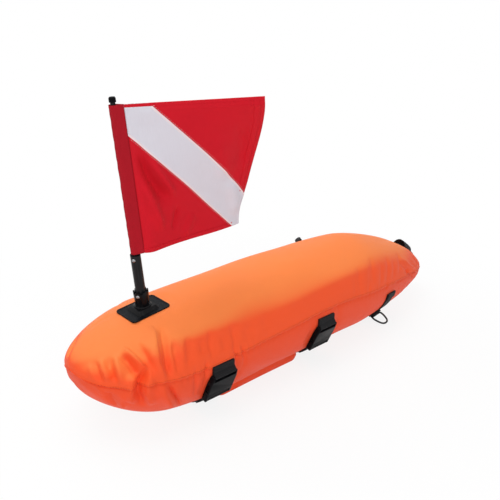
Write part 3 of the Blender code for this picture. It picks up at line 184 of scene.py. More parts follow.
def crease(x, y, line, width, height, lean=0.0, fade=0.3, tip=0.15, even=False):
    """Heights of one fold. A negative height is a groove, and lean makes one flank steeper."""
    steps = [1 if even else math.dist(a, b) for a, b in zip(line, line[1:])]
    nearest, share, side, gone = np.full(x.shape, 1e9), np.zeros(x.shape), np.zeros(x.shape), 0.0
    for (x0, y0), (x1, y1), step in zip(line, line[1:], steps):
        ahead = (x - x0) * (x1 - x0) + (y - y0) * (y1 - y0)
        held = np.clip(ahead / ((x1 - x0) ** 2 + (y1 - y0) ** 2), 0, 1)
        gap = np.hypot(x - x0 - held * (x1 - x0), y - y0 - held * (y1 - y0))
        closer = gap < nearest
        nearest = np.where(closer, gap, nearest)
        share = np.where(closer, (gone + held * step) / sum(steps), share)
        side = np.where(closer, np.sign((x1 - x0) * (y - y0) - (y1 - y0) * (x - x0)), side)
        gone += step
    taper = ease(share / fade + tip) * ease((1 - share) / fade + tip)
    return height * taper * np.exp(-(nearest / (width * (1 + lean * side))) ** 2)


# Rows of a fold's width, height and lean, then points of (station, degrees). Lengths in millimetres
near_folds = [
    (8.6, 9.6, -0.55, (129, 67), (123, 55), (114, 44), (107, 28), (111, 8)),
    (5.7, -7.8, 0.45, (141, 62), (133, 52), (126, 40), (119, 24), (121, 9)),
    (3.4, -7.8, 0.3, (113, 9), (126, -10), (155, -37)), (7.3, 7.4, -0.3, (103, 7), (112, -9), (137, -36)),
    (4.4, -10.8, 0, (87, 30), (71, 13), (68, -1), (78, -27)),
    (6.5, 7.8, 0.3, (94, 28), (83, 10), (82, -4), (93, -25)),
    (6.2, 7.8, -0.3, (72, 28), (60, 12), (57, -3), (64, -24)),
    (6.2, 9.2, -0.5, (70, 58), (79, 40), (88, 26)), (6.5, -7.8, 0.2, (62, 52), (66, 38), (70, 18)),
    (5.3, 7.2, 0.3, (55, 54), (50, 42), (47, 24), (50, 6)),
    (4.5, -5.5, 0, (44, 56), (39, 38), (40, 14)), (4.3, 5.6, 0, (34, 58), (31, 38), (32, 14)),
    (3.6, -3.9, 0, (26, 60), (23, 38), (24, 12)), (3.1, 2.6, 0, (18, 56), (16, 32), (18, 8)),
    (4.0, -5.6, 0, (30, -6), (33, -22), (44, -44)), (5.2, 5.4, 0, (47, 0), (48, -20), (56, -40)),
    (3.4, 2.6, 0, (20, 0), (24, -22)), (8.2, 4.7, 0.3, (100, 60), (100, 44), (98, 30)),
    (4.3, -3.9, 0, (93, 50), (95, 36), (97, 18)), (6.0, -4.4, 0.4, (146, 46), (139, 33), (136, 12)),
    (9.0, 2.2, 0.3, (158, 40), (151, 22)), (9.5, -3.4, 0.4, (172, 42), (163, 27), (160, 14)),
    (12.0, -2.8, 0.3, (199, 34), (193, 20)), (8.5, -3.0, 0.4, (219, 39), (212, 24), (213, 12)),
    (13.0, -2.0, 0.3, (244, 30), (243, 14)), (9.0, -2.6, 0.4, (266, 36), (268, 22), (264, 10)),
    (14.0, -1.6, 0.3, (300, 28), (302, 13)), (13.0, -1.4, 0.3, (352, 32), (345, 15)),
    (4.4, -4.4, 0.2, (262, 16), (267, 3), (272, -12)), (4.6, -3.5, 0.2, (280, 14), (287, 0), (290, -14)),
    (3.8, -4.4, -0.2, (198, 14), (196, 2), (196, -18)), (5.1, -2.9, 0, (170, 10), (172, -4), (178, -26)),
    (15.0, 3.4, 0.4, (118, 47), (140, 43), (185, 38), (250, 35), (314, 31)),
    (13.0, 2.0, 0.4, (314, 31), (455, 32), (608, 36), (748, 37)),
    (6.7, -1.6, 0, (484, 14), (478, 0), (474, -20)), (6.7, -1.6, 0, (560, 16), (566, 2), (570, -18)),
    (6.0, -1.4, 0.2, (634, 33), (628, 19), (622, 9)), (7.5, -1.7, 0.2, (659, 43), (645, 24), (640, 10)),
    (6.2, -1.8, 0.2, (698, 38), (684, 20), (672, 7)), (8.0, -2.2, 0.2, (718, 47), (702, 29), (694, 14)),
    (5.8, -1.7, 0.2, (748, 36), (733, 18), (724, 6)), (7.8, -2.4, 0.2, (790, 44), (772, 24), (754, 8)),
    (6.0, -1.8, 0.2, (818, 38), (801, 21), (790, 10)), (7.4, -2.2, 0.2, (864, 49), (848, 30), (829, 13)),
    (7.8, -4.6, 0.2, (845, 34), (872, 20), (905, 4), (950, -12)),
    (9.0, 3.8, 0.2, (866, 40), (890, 28), (925, 14), (975, 2)),
    (11.0, -4.6, 0, (880, 17), (893, 8)), (6.2, -2.4, 0, (915, 32), (945, 20), (985, 8)),
    (6.7, -3.4, 0, (955, 50), (975, 30), (1000, 10)), (6.7, -3.4, 0, (905, -10), (915, -26), (920, -44))]
back_folds = [
    (20.0, -9.5, 0, (6, 136), (18, 135), (42, 128)), (7.0, 1.0, 0, (176, 66), (200, 70), (235, 76)),
    (7.0, -1.2, 0, (100, 84), (76, 80), (50, 84)), (7.0, -1.2, 0, (104, 104), (80, 112), (56, 114)),
    (7.0, -1.2, 0, (960, 70), (985, 78), (1010, 90))]
mirror_shift, mirror_share = 6, 0.8
gather_height, gather_pitch, gather_reach = 0.0007, 0.0145, 0.012
seam_groove, seam_groove_reach, slack_height, tip_fade = 0.0024, 0.0036, 0.0011, 0.012
lap_height, lap_reach, lap_edge = 0.0013, 0.0075, 0.0015
strap_edge_fade, zip_flat_reach, zip_flat_fade, zip_end_fade = 0.006, 0.016, 0.012, 0.01
seam_marks = np.array([(0, 3), (0.03, 4), (0.06, 6), (0.071, 9), (0.113, 7), (0.163, 4), (0.2, 3), (0.29, 4),
                       (0.5, 9), (0.6, 9), (0.72, 5), (0.83, 4), (1.06, 2)])


def near_seam(station):
    return np.radians(np.interp(station, *seam_marks.T))


def cover_crease(station, angle, line, width, height, lean):
    """A fold of the cover, from a row's numbers."""
    marks = [(mark / 1000, radians(turn) * side_radius) for mark, turn in line]
    return crease(station, angle * side_radius, marks, width / 1000, height / 1000, lean)


def cover_folds(station, angle):
    """Height of the cloth's folds, puckers and slack above the smooth skin."""
    far_angle = np.where(angle < -pi / 2, angle + tau, angle)
    unseen = ease((far_angle - radians(122)) / 0.2) * np.maximum(
        ease((station - 0.13) / 0.03), ease((far_angle - radians(172)) / 0.2))
    total = np.zeros_like(station)
    for width, height, lean, *line in near_folds + back_folds:
        total += cover_crease(station, angle, line, width, height, lean)
    for width, height, lean, *line in near_folds:
        mirrored = [(mark + mirror_shift, 180 - turn) for mark, turn in line]
        total += cover_crease(station, far_angle, mirrored, width, height * mirror_share, -lean) * unseen
    gather = np.sin(station * tau / gather_pitch + 1.3 * np.sin(station * 31))
    for away in (angle - near_seam(station), far_angle - far_seam):
        from_seam = np.abs(away) * side_radius
        total += gather_height * gather * np.exp(-(from_seam / gather_reach) ** 2)
        total -= seam_groove * np.exp(-(from_seam / seam_groove_reach) ** 2)
    sway = 1.7 * np.sin(angle * 2 + 0.6)
    total += slack_height * np.sin(station * 21 + sway) * np.sin(angle * 5 + station * 9)
    for matrix, radius, fall in flat_places:
        local = through(matrix.inverted(), bare_skin(station, angle))
        clear = ease((np.hypot(local[..., 0], local[..., 1]) - radius * 0.86) / fall)
        total *= clear + (np.abs(local[..., 2]) > radius) * (1 - clear)
    for label, width in strap_widths.items():
        under_strap = 1 - ease((np.abs(station - strap_stations[label]) - width / 2) / strap_edge_fade)
        low = 1 - ease((angle - radians(6)) / 0.06)
        total *= 1 - under_strap * low * (angle > radians(-170))
    beside_zip = (station > zip_start - zip_end_fade) & (station < zip_end + zip_end_fade)
    from_zip = np.abs(far_angle - far_seam) * side_radius
    total *= np.where(beside_zip, ease((from_zip - zip_flat_reach) / zip_flat_fade), 1)
    return total * ease(station / tip_fade) * ease((float_length - station) / tip_fade)


def beyond_zip(station):
    """1 where the far seam is sewn, 0 where the zip closes it."""
    return ease((zip_start - station) / zip_end_fade) + ease((station - zip_end) / zip_end_fade)


def lap(away):
    """Lift of an edge that laps over its neighbour in a felled seam."""
    return lap_height * ease((lap_reach - away * side_radius) / lap_edge)


def upper_lap(station, angle):
    return lap(angle - near_seam(station)) + lap(far_seam - angle) * beyond_zip(station)


# Helpers for meshes

stitch_pitch, thread_flatness = 0.0042, 0.8


def grid(columns, rows):
    """A flat grid from 0 to 1 both ways."""
    work = bmesh.new()
    bmesh.ops.create_grid(work, x_segments=columns, y_segments=rows, size=0.5,
                          matrix=Matrix.Translation((0.5, 0.5, 0)))
    return work


def linked(name, data):
    made = bpy.data.objects.new(name, data)
    bpy.context.scene.collection.objects.link(made)
    return made


def built(name, work, finish, sharp=40):
    """The work as a smooth object, with sharp edges past the angle."""
    mesh = bpy.data.meshes.new(name)
    work.to_mesh(mesh)
    work.free()
    mesh.materials.append(finish)
    mesh.shade_smooth()
    mesh.set_sharp_from_angle(angle=radians(sharp))
    return linked(name, mesh)


def merged_solid(node):
    """A work with the CAD solid's loose triangles joined."""
    work = bmesh.new()
    work.from_mesh(frame["nodes"][node].data)
    bmesh.ops.remove_doubles(work, verts=work.verts[:], dist=merge_gap)
    return work


def soften(piece, width, segments=2, angle=40):
    step = piece.modifiers.new("rounded_edges", "BEVEL")
    step.width, step.segments = width, segments
    step.limit_method, step.angle_limit, step.harden_normals = "ANGLE", radians(angle), False
    return piece


def cloth(name, work, place, finish, thickness, offset=0.0, bevel=0.0, sharp=60, away=None):
    """Cloth from a flat work. place gives its points a spot in space and one on the flat cloth.

    A closed shell is merged, and its faces turn away from the given point.
    """
    flat = np.array([vertex.co for vertex in work.verts])
    spots, threads_at = place(flat[:, 0], flat[:, 1])
    for vertex, spot in zip(work.verts, spots):
        vertex.co = spot
    threads = work.loops.layers.uv.new("threads")
    for face in work.faces:
        for loop in face.loops:
            loop[threads].uv = threads_at[loop.vert.index]
    if away is not None:
        bmesh.ops.remove_doubles(work, verts=work.verts[:], dist=merge_gap)
    work.normal_update()
    if away is not None and sum(face.normal.dot(face.calc_center_median() - away) * face.calc_area()
                                for face in work.faces) < 0:
        bmesh.ops.reverse_faces(work, faces=work.faces[:])
    piece = built(name, work, finish, sharp)
    step = piece.modifiers.new("thickness", "SOLIDIFY")
    step.thickness, step.offset = thickness, offset
    return soften(piece, bevel) if bevel else piece


def dressed(piece, *nodes, body="float"):
    """The piece rides on the body and stands for the nodes, which are hidden."""
    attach(piece, body)
    if nodes:
        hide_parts(*nodes)
    return piece


def resampled(points, step):
    """The same path with points every step or so."""
    kept = [points[0]]
    for a, b in zip(points, points[1:]):
        pieces = max(1, math.ceil(math.dist(a, b) / step))
        kept += [tuple(x + (y - x) * part / pieces for x, y in zip(a, b)) for part in range(1, pieces + 1)]
    return kept


def stitched(name, rows, finish, thick=0.0003, length=0.0026):
    """Threads from rows of (places, directions, normals): each stitch is a small long bead."""
    work = bmesh.new()
    for spots, ways, ups in rows:
        for spot, way, up in zip(spots, ways, ups):
            ahead = Vector(way).normalized()
            side = Vector(up).cross(ahead).normalized()
            axes = Matrix((ahead * length / 2, side * thick, ahead.cross(side) * thick * thread_flatness))
            place = axes.transposed().to_4x4()
            place.translation = Vector(spot)
            bmesh.ops.create_icosphere(work, subdivisions=1, radius=1.0, matrix=place)
    return built(name, work, finish, 80)


def skin_row(line, height, pitch=0.0045, reach=side_radius):
    """A stitch row along (station, angle) points, at a height over the skin."""
    marks = np.array(resampled([(mark, turn * reach) for mark, turn in line], pitch))
    middles = (marks[1:] + marks[:-1]) / 2
    ends = skin(marks[:, 0], marks[:, 1] / reach, height)
    at = middles[:, 0], middles[:, 1] / reach
    return skin(*at, height), ends[1:] - ends[:-1], outward(*at)


def between(places, ups):
    """A stitch row between places, one stitch for each step."""
    return (places[1:] + places[:-1]) / 2, places[1:] - places[:-1], ups[1:]


# Shaders

def feed(tree, slot, value):
    """Links a socket to the slot, or sets the slot's own number or colour."""
    if isinstance(value, bpy.types.NodeSocket):
        tree.links.new(value, slot)
    else:
        slot.default_value = (*value, 1) if slot.type == "RGBA" else value


def add_node(tree, kind, inputs=(), out=0, **traits):
    """A shader node with its traits and inputs set, given back as one output or all of them."""
    made = tree.nodes.new("ShaderNode" + kind)
    for trait, value in traits.items():
        setattr(made, trait, value)
    for slot, value in dict(inputs).items():
        feed(tree, made.inputs[slot], value)
    return made.outputs if out is None else made.outputs[out]


def calc(tree, operation, *values):
    return add_node(tree, "Math", enumerate(values), operation=operation)


def noise(tree, vector, scale, detail=3.0, roughness=0.5):
    return add_node(tree, "TexNoise", {"Vector": vector, "Scale": scale, "Detail": detail,
                                       "Roughness": roughness})


def group(name, numbers, *outputs):
    """A shared group with a vector and numbers to work on: its tree, its inputs and its outputs."""
    made = bpy.data.node_groups.new(name, "ShaderNodeTree")
    made.interface.new_socket("Vector", in_out="INPUT", socket_type="NodeSocketVector")
    for label, start in numbers.items():
        made.interface.new_socket(label, in_out="INPUT", socket_type="NodeSocketFloat").default_value = start
    for label in outputs:
        made.interface.new_socket(label, in_out="OUTPUT", socket_type="NodeSocketFloat")
    return made, made.nodes.new("NodeGroupInput").outputs, made.nodes.new("NodeGroupOutput").inputs


def weave_group():
    """Plain weave: threads over and under, by the two pitches in metres."""
    made, given, gives = group("plain_weave", {"Warp": 0.001, "Weft": 0.001}, "Height")
    spot = add_node(made, "SeparateXYZ", {0: given["Vector"]}, None)
    waves = [calc(made, "SINE", calc(made, "MULTIPLY", calc(made, "DIVIDE", spot[axis], given[pitch]), pi))
             for axis, pitch in (("X", "Warp"), ("Y", "Weft"))]
    over = calc(made, "GREATER_THAN", calc(made, "MULTIPLY", *waves), 0.0)
    warp, weft = (calc(made, "ABSOLUTE", wave) for wave in waves)
    feed(made, gives["Height"], calc(made, "ADD", calc(made, "MULTIPLY", warp, over),
                                     calc(made, "MULTIPLY", weft, calc(made, "SUBTRACT", 1.0, over))))
    return made


def rib_group():
    """Webbing: ribs across the band, each broken into short slanted picks."""
    made, given, gives = group("webbing_ribs", {"Rib": 0.0022, "Pick": 0.0012}, "Height")
    spot = add_node(made, "SeparateXYZ", {0: given["Vector"]}, None)
    across = calc(made, "DIVIDE", spot["X"], given["Rib"])
    along = calc(made, "DIVIDE", spot["Y"], given["Pick"])
    ribs = calc(made, "ABSOLUTE", calc(made, "SINE", calc(made, "MULTIPLY", across, pi)))
    slant = calc(made, "MULTIPLY_ADD", calc(made, "PINGPONG", across, 0.5), 1.4, along)
    picks = calc(made, "SINE", calc(made, "MULTIPLY", slant, pi))
    feed(made, gives["Height"], calc(made, "MULTIPLY", ribs, calc(made, "MULTIPLY_ADD", picks, 0.45, 0.55)))
    return made


def mottle_group():
    """Slow uneven tone and a finer one, as a factor round 1."""
    made, given, gives = group("mottle", {"Scale": 8.0, "Depth": 0.1}, "Tone", "Mask")
    slow = noise(made, given["Vector"], given["Scale"], 2.0)
    fine = noise(made, given["Vector"], calc(made, "MULTIPLY", given["Scale"], 9.0), 4.0, 0.6)
    both = calc(made, "MULTIPLY_ADD", slow, 0.65, calc(made, "MULTIPLY", fine, 0.35))
    centred = calc(made, "SUBTRACT", both, 0.5)
    feed(made, gives["Tone"], calc(made, "MULTIPLY_ADD", centred, given["Depth"], 1.0))
    feed(made, gives["Mask"], both)
    return made


def scuff_group():
    """Fine moulding grain with sparse rubs, for plastics, rubber and metal."""
    made, given, gives = group("grain_and_rubs", {"Grain": 900.0, "Rubs": 60.0}, "Height", "Rub")
    patches = noise(made, given["Vector"], given["Rubs"], 5.0, 0.65)
    feed(made, gives["Height"], noise(made, given["Vector"], given["Grain"], 2.0))
    rubbed = {"Value": patches, "From Min": 0.52, "From Max": 0.72}
    feed(made, gives["Rub"], add_node(made, "MapRange", rubbed))
    return made


weave, ribs, mottle, scuff = weave_group(), rib_group(), mottle_group(), scuff_group()


class Finish:
    """One material under construction, with the places that its patterns read."""

    def __init__(self, name):
        self.made = bpy.data.materials.new(name)
        self.made.use_nodes = True
        self.tree = self.made.node_tree
        self.shader = self.tree.nodes["Principled BSDF"]
        places = add_node(self.tree, "TexCoord", out=None)
        self.object, self.threads = places["Object"], places["UV"]

    def use(self, shared, vector, **values):
        return add_node(self.tree, "Group", {"Vector": vector, **values}, None, node_tree=shared)

    def mix(self, factor, one, two):
        return add_node(self.tree, "Mix", {0: factor, 6: one, 7: two}, 2, data_type="RGBA")

    def toned(self, colour, tone):
        """A colour scaled by a tone round 1."""
        return add_node(self.tree, "VectorMath", {0: colour, "Scale": tone}, operation="SCALE")

    def stretched(self, vector, scale):
        return add_node(self.tree, "Mapping", {"Vector": vector, "Scale": scale})

    def done(self, bumps, rough, **values):
        """The material, with bumps of (socket, distance), a (socket, low, high) roughness and the rest."""
        normal = {}
        for height, distance in bumps:
            step = {"Height": height, "Distance": distance, "Strength": 1.0, **normal}
            normal = {"Normal": add_node(self.tree, "Bump", step)}
        rough = add_node(self.tree, "MapRange", {"Value": rough[0], "To Min": rough[1], "To Max": rough[2]})
        for label, value in {"Roughness": rough, **normal, **values}.items():
            feed(self.tree, self.shader.inputs[label.replace("_", " ")], value)
        return self.made


# Painted light and shade: the cover's colour mixes a shaded and a lit colour of the one cloth by the share of
# lit colour stored on each point
def cover_finish(name, shaded, lit):
    made = Finish(name)
    tone = made.use(mottle, made.object, Scale=7.0, Depth=0.10)
    threads = made.use(weave, made.threads, Warp=0.0011, Weft=0.0011)
    painted_light = add_node(made.tree, "Attribute", out="Fac", attribute_name="painted_light")
    crinkle = noise(made.tree, made.object, 95.0, 3.0, 0.55)
    return made.done([(crinkle, 0.00035), (threads["Height"], 0.00010)], (tone["Mask"], 0.48, 0.66),
                     Base_Color=made.toned(made.mix(painted_light, shaded, lit), tone["Tone"]),
                     Specular_IOR_Level=0.22, Sheen_Weight=0.03, Sheen_Roughness=0.4)


def cloth_finish(name, colour, pitch, depth):
    made = Finish(name)
    tone = made.use(mottle, made.object, Scale=11.0, Depth=depth)
    threads = made.use(weave, made.threads, Warp=pitch, Weft=pitch)
    slubs = noise(made.tree, made.stretched(made.threads, (1400, 60, 1)), 1.0, 2.0)
    level = calc(made.tree, "MULTIPLY_ADD", slubs, 0.10, 0.95)
    crinkle = noise(made.tree, made.object, 60.0)
    return made.done([(crinkle, 0.0004), (threads["Height"], 0.00012)], (tone["Mask"], 0.6, 0.75),
                     Base_Color=made.toned(made.toned(colour, tone["Tone"]), level),
                     Specular_IOR_Level=0.11, Sheen_Weight=0.02)


def webbing_finish(name, colour, worn):
    made = Finish(name)
    tone = made.use(mottle, made.object, Scale=30.0, Depth=0.5)
    band = made.use(ribs, made.threads, Rib=0.0025, Pick=0.0013)
    high = calc(made.tree, "POWER", band["Height"], 2.5)
    return made.done([(band["Height"], 0.00055)], (tone["Mask"], 0.55, 0.8),
                     Base_Color=made.toned(made.mix(high, colour, worn), tone["Tone"]),
                     Specular_IOR_Level=0.12, Sheen_Weight=0.03)


def moulded_finish(name, colour, rubbed, roughness, grain=0.00005, metallic=0.0, coat=0.0, gloss=0.28):
    made = Finish(name)
    marks = made.use(scuff, made.object, Grain=1400.0, Rubs=70.0)
    return made.done([(marks["Height"], grain)], (marks["Rub"], roughness, roughness + 0.2),
                     Base_Color=made.mix(marks["Rub"], colour, rubbed), Metallic=metallic,
                     Specular_IOR_Level=gloss, Coat_Weight=coat, Coat_Roughness=0.2)


def tube_finish(name):
    """Woven look tube: dark diagonal braid under a clear varnish."""
    made = Finish(name)
    # Lighter streaks down the tube: partly the braid's uneven tone, partly a painted highlight
    streak = noise(made.tree, made.stretched(made.object, (420, 420, 6)), 1.0, 3.0, 0.6)
    braid = made.use(weave, made.object, Warp=0.0022, Weft=0.0022)
    level = calc(made.tree, "MULTIPLY_ADD", braid["Height"], 0.7, 0.5)
    dark = made.mix(streak, (0.004, 0.004, 0.005), (0.020, 0.020, 0.022))
    return made.done([(streak, 0.0002)], (streak, 0.22, 0.42), Base_Color=made.toned(dark, level),
                     Specular_IOR_Level=0.12, Coat_Weight=0.04, Coat_Roughness=0.12)


# Shaded and lit colours of the one orange cloth, for the painted light on the cover
orange_cover = cover_finish("orange_nylon_cover", (0.950, 0.096, 0.020), (0.985, 0.245, 0.058))
# The belly's shaded and lit colours are darker than the top's: painted shade under the float
belly_cover = cover_finish("belly_nylon", (0.900, 0.080, 0.020), (0.95, 0.15, 0.036))
red_cloth = cloth_finish("red_flag_cloth", (0.64, 0.008, 0.020), 0.0009, 0.22)
# The sleeve's red is the flag's red made darker: painted shade on the sleeve
sleeve_cloth = cloth_finish("red_sleeve_cloth", (0.42, 0.007, 0.017), 0.0009, 0.22)
white_cloth = cloth_finish("white_flag_cloth", (0.73, 0.71, 0.78), 0.0009, 0.06)
stripe_hem_cloth = cloth_finish("stripe_hem_cloth", (0.88, 0.76, 0.78), 0.0009, 0.05)
black_band = webbing_finish("black_webbing", (0.006, 0.006, 0.007), (0.026, 0.026, 0.028))
zip_band = cloth_finish("zip_tape_cloth", (0.020, 0.020, 0.022), 0.0012, 0.3)
# Orange thread much darker than the cloth: painted shade along the seams and the zip that it sews
orange_thread = cloth_finish("orange_thread", (0.40, 0.042, 0.012), 0.0006, 0.2)
red_thread = cloth_finish("red_thread", (0.42, 0.008, 0.016), 0.0006, 0.2)
pale_thread = cloth_finish("pale_thread", (0.75, 0.66, 0.66), 0.0006, 0.1)
black_thread = cloth_finish("black_thread", (0.030, 0.030, 0.032), 0.0006, 0.3)
black_moulding = moulded_finish("black_moulding", (0.005, 0.005, 0.006), (0.016, 0.016, 0.017), 0.30,
                                gloss=0.03)
socket_moulding = moulded_finish("socket_moulding", (0.005, 0.005, 0.006), (0.015, 0.015, 0.016), 0.14,
                                 coat=0.02, gloss=0.10)
patch_rubber = moulded_finish("patch_rubber", (0.005, 0.006, 0.008), (0.011, 0.012, 0.014), 0.22, 0.00008,
                              gloss=0.06)
valve_rubber = moulded_finish("valve_rubber", (0.018, 0.018, 0.019), (0.040, 0.040, 0.042), 0.55, 0.00008)
braided_tube = tube_finish("braided_tube")
bright_metal = moulded_finish("bright_metal", (0.30, 0.30, 0.31), (0.22, 0.22, 0.23), 0.36, 0.00002, 1.0)
black_metal = moulded_finish("black_coated_metal", (0.008, 0.008, 0.009), (0.05, 0.05, 0.05), 0.35,
                             0.00003, 0.4)
cast_lead = moulded_finish("cast_lead", (0.19, 0.19, 0.205), (0.30, 0.30, 0.31), 0.55, 0.0003, 0.8)
film = moulded_finish("bladder_film", (0.55, 0.56, 0.58), (0.62, 0.62, 0.64), 0.38, 0.0001)


# Cover: its columns lie close at the tips and on the folded near end

cover_marks = [0.05 * (step / 26) ** 2 for step in range(27)]
cover_marks += [*np.linspace(0.05, 0.31, 121)[1:], *np.linspace(0.31, 0.95, 132)[1:]]
cover_marks += [float_length - 0.11 * (1 - step / 34) ** 2 for step in range(1, 35)]
# Painted light on the cover: its colour turns from the shaded one to the lit one where it faces up towards
# this way, and less so at the far tip
painted_light_way = unit(np.array([-0.03, -0.08, 1.0]))
tuck = 0.004 / side_radius
slow_share, painted_light_start, tip_painted_light_start, painted_light_range = 0.78, 0.52, 0.22, 0.34
shaded_tip, shaded_tip_fade = 0.36, 0.12


def painted_light_share(mesh):
    """Painted light: how far the cloth faces up towards the light, from its smoothed and its own directions,
    less at the far tip, as the share of its lit colour.
    """
    normals = np.array([vertex.normal for vertex in mesh.vertices])
    pairs = np.array([edge.vertices[:] for edge in mesh.edges])
    slow = normals
    for step in range(40):
        total = slow.copy()
        np.add.at(total, pairs[:, 0], slow[pairs[:, 1]])
        np.add.at(total, pairs[:, 1], slow[pairs[:, 0]])
        slow = unit(total)
    tip = ease((np.array([vertex.co.x for vertex in mesh.vertices]) - shaded_tip) / shaded_tip_fade)
    facing = (slow_share * slow + (1 - slow_share) * normals) @ painted_light_way
    return ease((facing - painted_light_start - tip_painted_light_start * tip) / painted_light_range)


def cover_panel(name, rows, edges, finish, lapped):
    """One panel of the cover between two seams, whose angles edges gives for the stations."""
    def place(across, up):
        station = np.interp(across, np.linspace(0, 1, len(cover_marks)), cover_marks)
        start, end = edges(station)
        angle = start + (end - start) * up
        spots = skin(station, angle, cover_folds(station, angle) + lapped * upper_lap(station, angle))
        spots[..., 2] = np.maximum(spots[..., 2], 0)
        return spots, np.stack([station, angle * side_radius], axis=-1)

    piece = cloth(name, grid(len(cover_marks) - 1, rows), place, finish, cover_thickness, -1.0, sharp=75,
                  away=Vector((0, 0, waist_height)))
    # Painted light: the share of the lit colour at each point, by how far it faces up
    tone = piece.data.attributes.new("painted_light", "FLOAT", "POINT")
    tone.data.foreach_set("value", painted_light_share(piece.data).astype(np.float32))
    return piece


def pierced(piece, matrix, radius):
    """Cuts a round hole in a panel for what passes through it along the frame's Z."""
    work, inward = bmesh.new(), matrix.inverted()
    work.from_mesh(piece.data)

    def near_hole(vertices, reach):
        local = [(vertex, inward @ vertex.co) for vertex in vertices]
        return [(vertex, spot) for vertex, spot in local
                if spot.to_2d().length < reach and abs(spot.z) < radius * 2]

    bmesh.ops.delete(work, geom=[vertex for vertex, spot in near_hole(work.verts, radius)], context="VERTS")
    rim = {vertex for edge in work.edges if edge.is_boundary for vertex in edge.verts}
    for vertex, spot in near_hole(rim, radius * 1.8):
        grow = radius / spot.to_2d().length
        vertex.co = matrix @ Vector((spot.x * grow, spot.y * grow, spot.z))
    work.to_mesh(piece.data)
    work.free()


cover_top = cover_panel("cover_top_panel", 122, lambda station: (near_seam(station), far_seam),
                        orange_cover, 1)
cover_low = cover_panel("cover_belly_panel", 84, lambda station: (
    far_seam - tau - tuck * beyond_zip(station), near_seam(station) + tuck), belly_cover, 0)
pierced(cover_top, valve_frame, valve_neck + clearance * 2)
dressed(cover_top, "cover_upper")
dressed(cover_low, "cover_lower")


def rounded_rectangle(length, width, corner, steps):
    points = []
    for turn, (x_side, y_side) in enumerate(((1, 1), (-1, 1), (-1, -1), (1, -1))):
        for step in range(steps + 1):
            angle = radians(90) * (turn + step / steps)
            points.append(((length / 2 - corner) * x_side + corner * cos(angle),
                           (width / 2 - corner) * y_side + corner * sin(angle)))
    return points


def belly_height(x, y):
    """Height of the cover's belly over the floor at places under the float."""
    station = x - near_end
    side = -bare_skin(station, np.zeros_like(station))[..., 1]
    return skin(station, -np.arccos(np.clip(-y / side, -1, 1)))[..., 2]


# Belly pocket: a pouch whose wall stands on a rounded bottom edge, with a cord in its top seam
pocket_middle = near_end + (pocket_start + pocket_end) / 2
pocket_edge_radius, pocket_turn_share, pocket_floor_share = 0.006, 0.45, 0.1
pocket_round = rounded_rectangle(pocket_end - pocket_start, pocket_width, pocket_corner, 10)
pocket_round = np.array(resampled(pocket_round + pocket_round[:1], 0.003))


def pocket_place(around, up):
    x, y = (np.interp(around, np.linspace(0, 1, len(pocket_round)), column) for column in pocket_round.T)
    top = belly_height(pocket_middle + x, y)
    edge = np.minimum(pocket_edge_radius, top * 0.8)
    turn = ease(up / pocket_turn_share) * pi / 2
    inset = np.where(up < pocket_floor_share, pocket_edge_radius + 0.03 * (1 - up / pocket_floor_share),
                     edge * (1 - np.sin(turn)))
    wall = np.clip((up - pocket_turn_share) / (1 - pocket_turn_share), 0, 1)
    sway = (0.0016 + 0.0010 * np.sin(around * 64)) * np.sin(wall * pi)
    height = np.where(up < pocket_turn_share, edge * (1 - np.cos(turn)), edge + (top + 0.001 - edge) * wall)
    scale = 1 - (inset - sway) / np.hypot(x, y)
    spots = np.stack([pocket_middle + x * scale, y * scale, np.maximum(height, 0) + 0.0002], axis=-1)
    return spots, np.stack([around * 0.75, up * 0.05], axis=-1)


pocket = cloth("belly_pocket", grid(240, 22), pocket_place, belly_cover, cover_thickness, -1.0, sharp=70,
               away=Vector((pocket_middle, 0, 0.03)))
pocket_work = bmesh.new()
pocket_work.from_mesh(pocket.data)
low_rim = [edge for edge in pocket_work.edges if edge.is_boundary and edge.verts[0].co.z < 0.001
           and math.hypot(edge.verts[0].co.x - pocket_middle, edge.verts[0].co.y) < pocket_width / 2]
bmesh.ops.contextual_create(pocket_work, geom=low_rim)
bmesh.ops.recalc_face_normals(pocket_work, faces=pocket_work.faces[:])
pocket_work.to_mesh(pocket.data)
pocket_work.free()
dressed(pocket, "pocket_panel")


def closed_cord(name, points, radius, finish, sides):
    """A round cord or wire along a closed line of points, as a curve."""
    curve = bpy.data.curves.new(name, "CURVE")
    curve.dimensions = "3D"
    curve.bevel_depth, curve.bevel_resolution = radius, sides
    spline = curve.splines.new("POLY")
    spline.points.add(len(points) - 1)
    for spot, point in zip(spline.points, points):
        spot.co = (*point, 1)
    spline.use_cyclic_u = True
    curve.materials.append(finish)
    return linked(name, curve)


piping_x, piping_y = pocket_round[:-1].T
piping_height = np.maximum(belly_height(pocket_middle + piping_x, piping_y), 0.0022)
dressed(closed_cord("pocket_piping", list(zip(pocket_middle + piping_x, piping_y, piping_height)), 0.0017,
                    belly_cover, 3))


# Webbing

def strip(name, path, step, width, spot, columns=16, thickness=webbing_thickness, bevel=0.0005):
    """Webbing along a path of (side, height) points, which spot puts in place with its offset."""
    sides, heights = np.array(resampled(path, step)).T
    lengths = np.concatenate([[0], np.cumsum(np.hypot(np.diff(sides), np.diff(heights)))])
    marks = np.arange(len(sides))

    def place(across, along):
        side, height, length = (np.interp(along * marks[-1], marks, column)
                                for column in (sides, heights, lengths))
        offset = (across - 0.5) * width
        return spot(offset, side, height), np.stack([offset + width / 2, length], axis=-1)

    return cloth(name, grid(columns, len(sides) - 1), place, black_band, thickness, bevel=bevel)


def band(name, node, station, path, width, reach=side_radius):
    """Webbing on the skin along a path of (run down the side, height off the skin) points."""
    dressed(strip(name, path, 0.0022, width, lambda offset, run, height: skin(
        station + offset, -run / reach, height)), node)


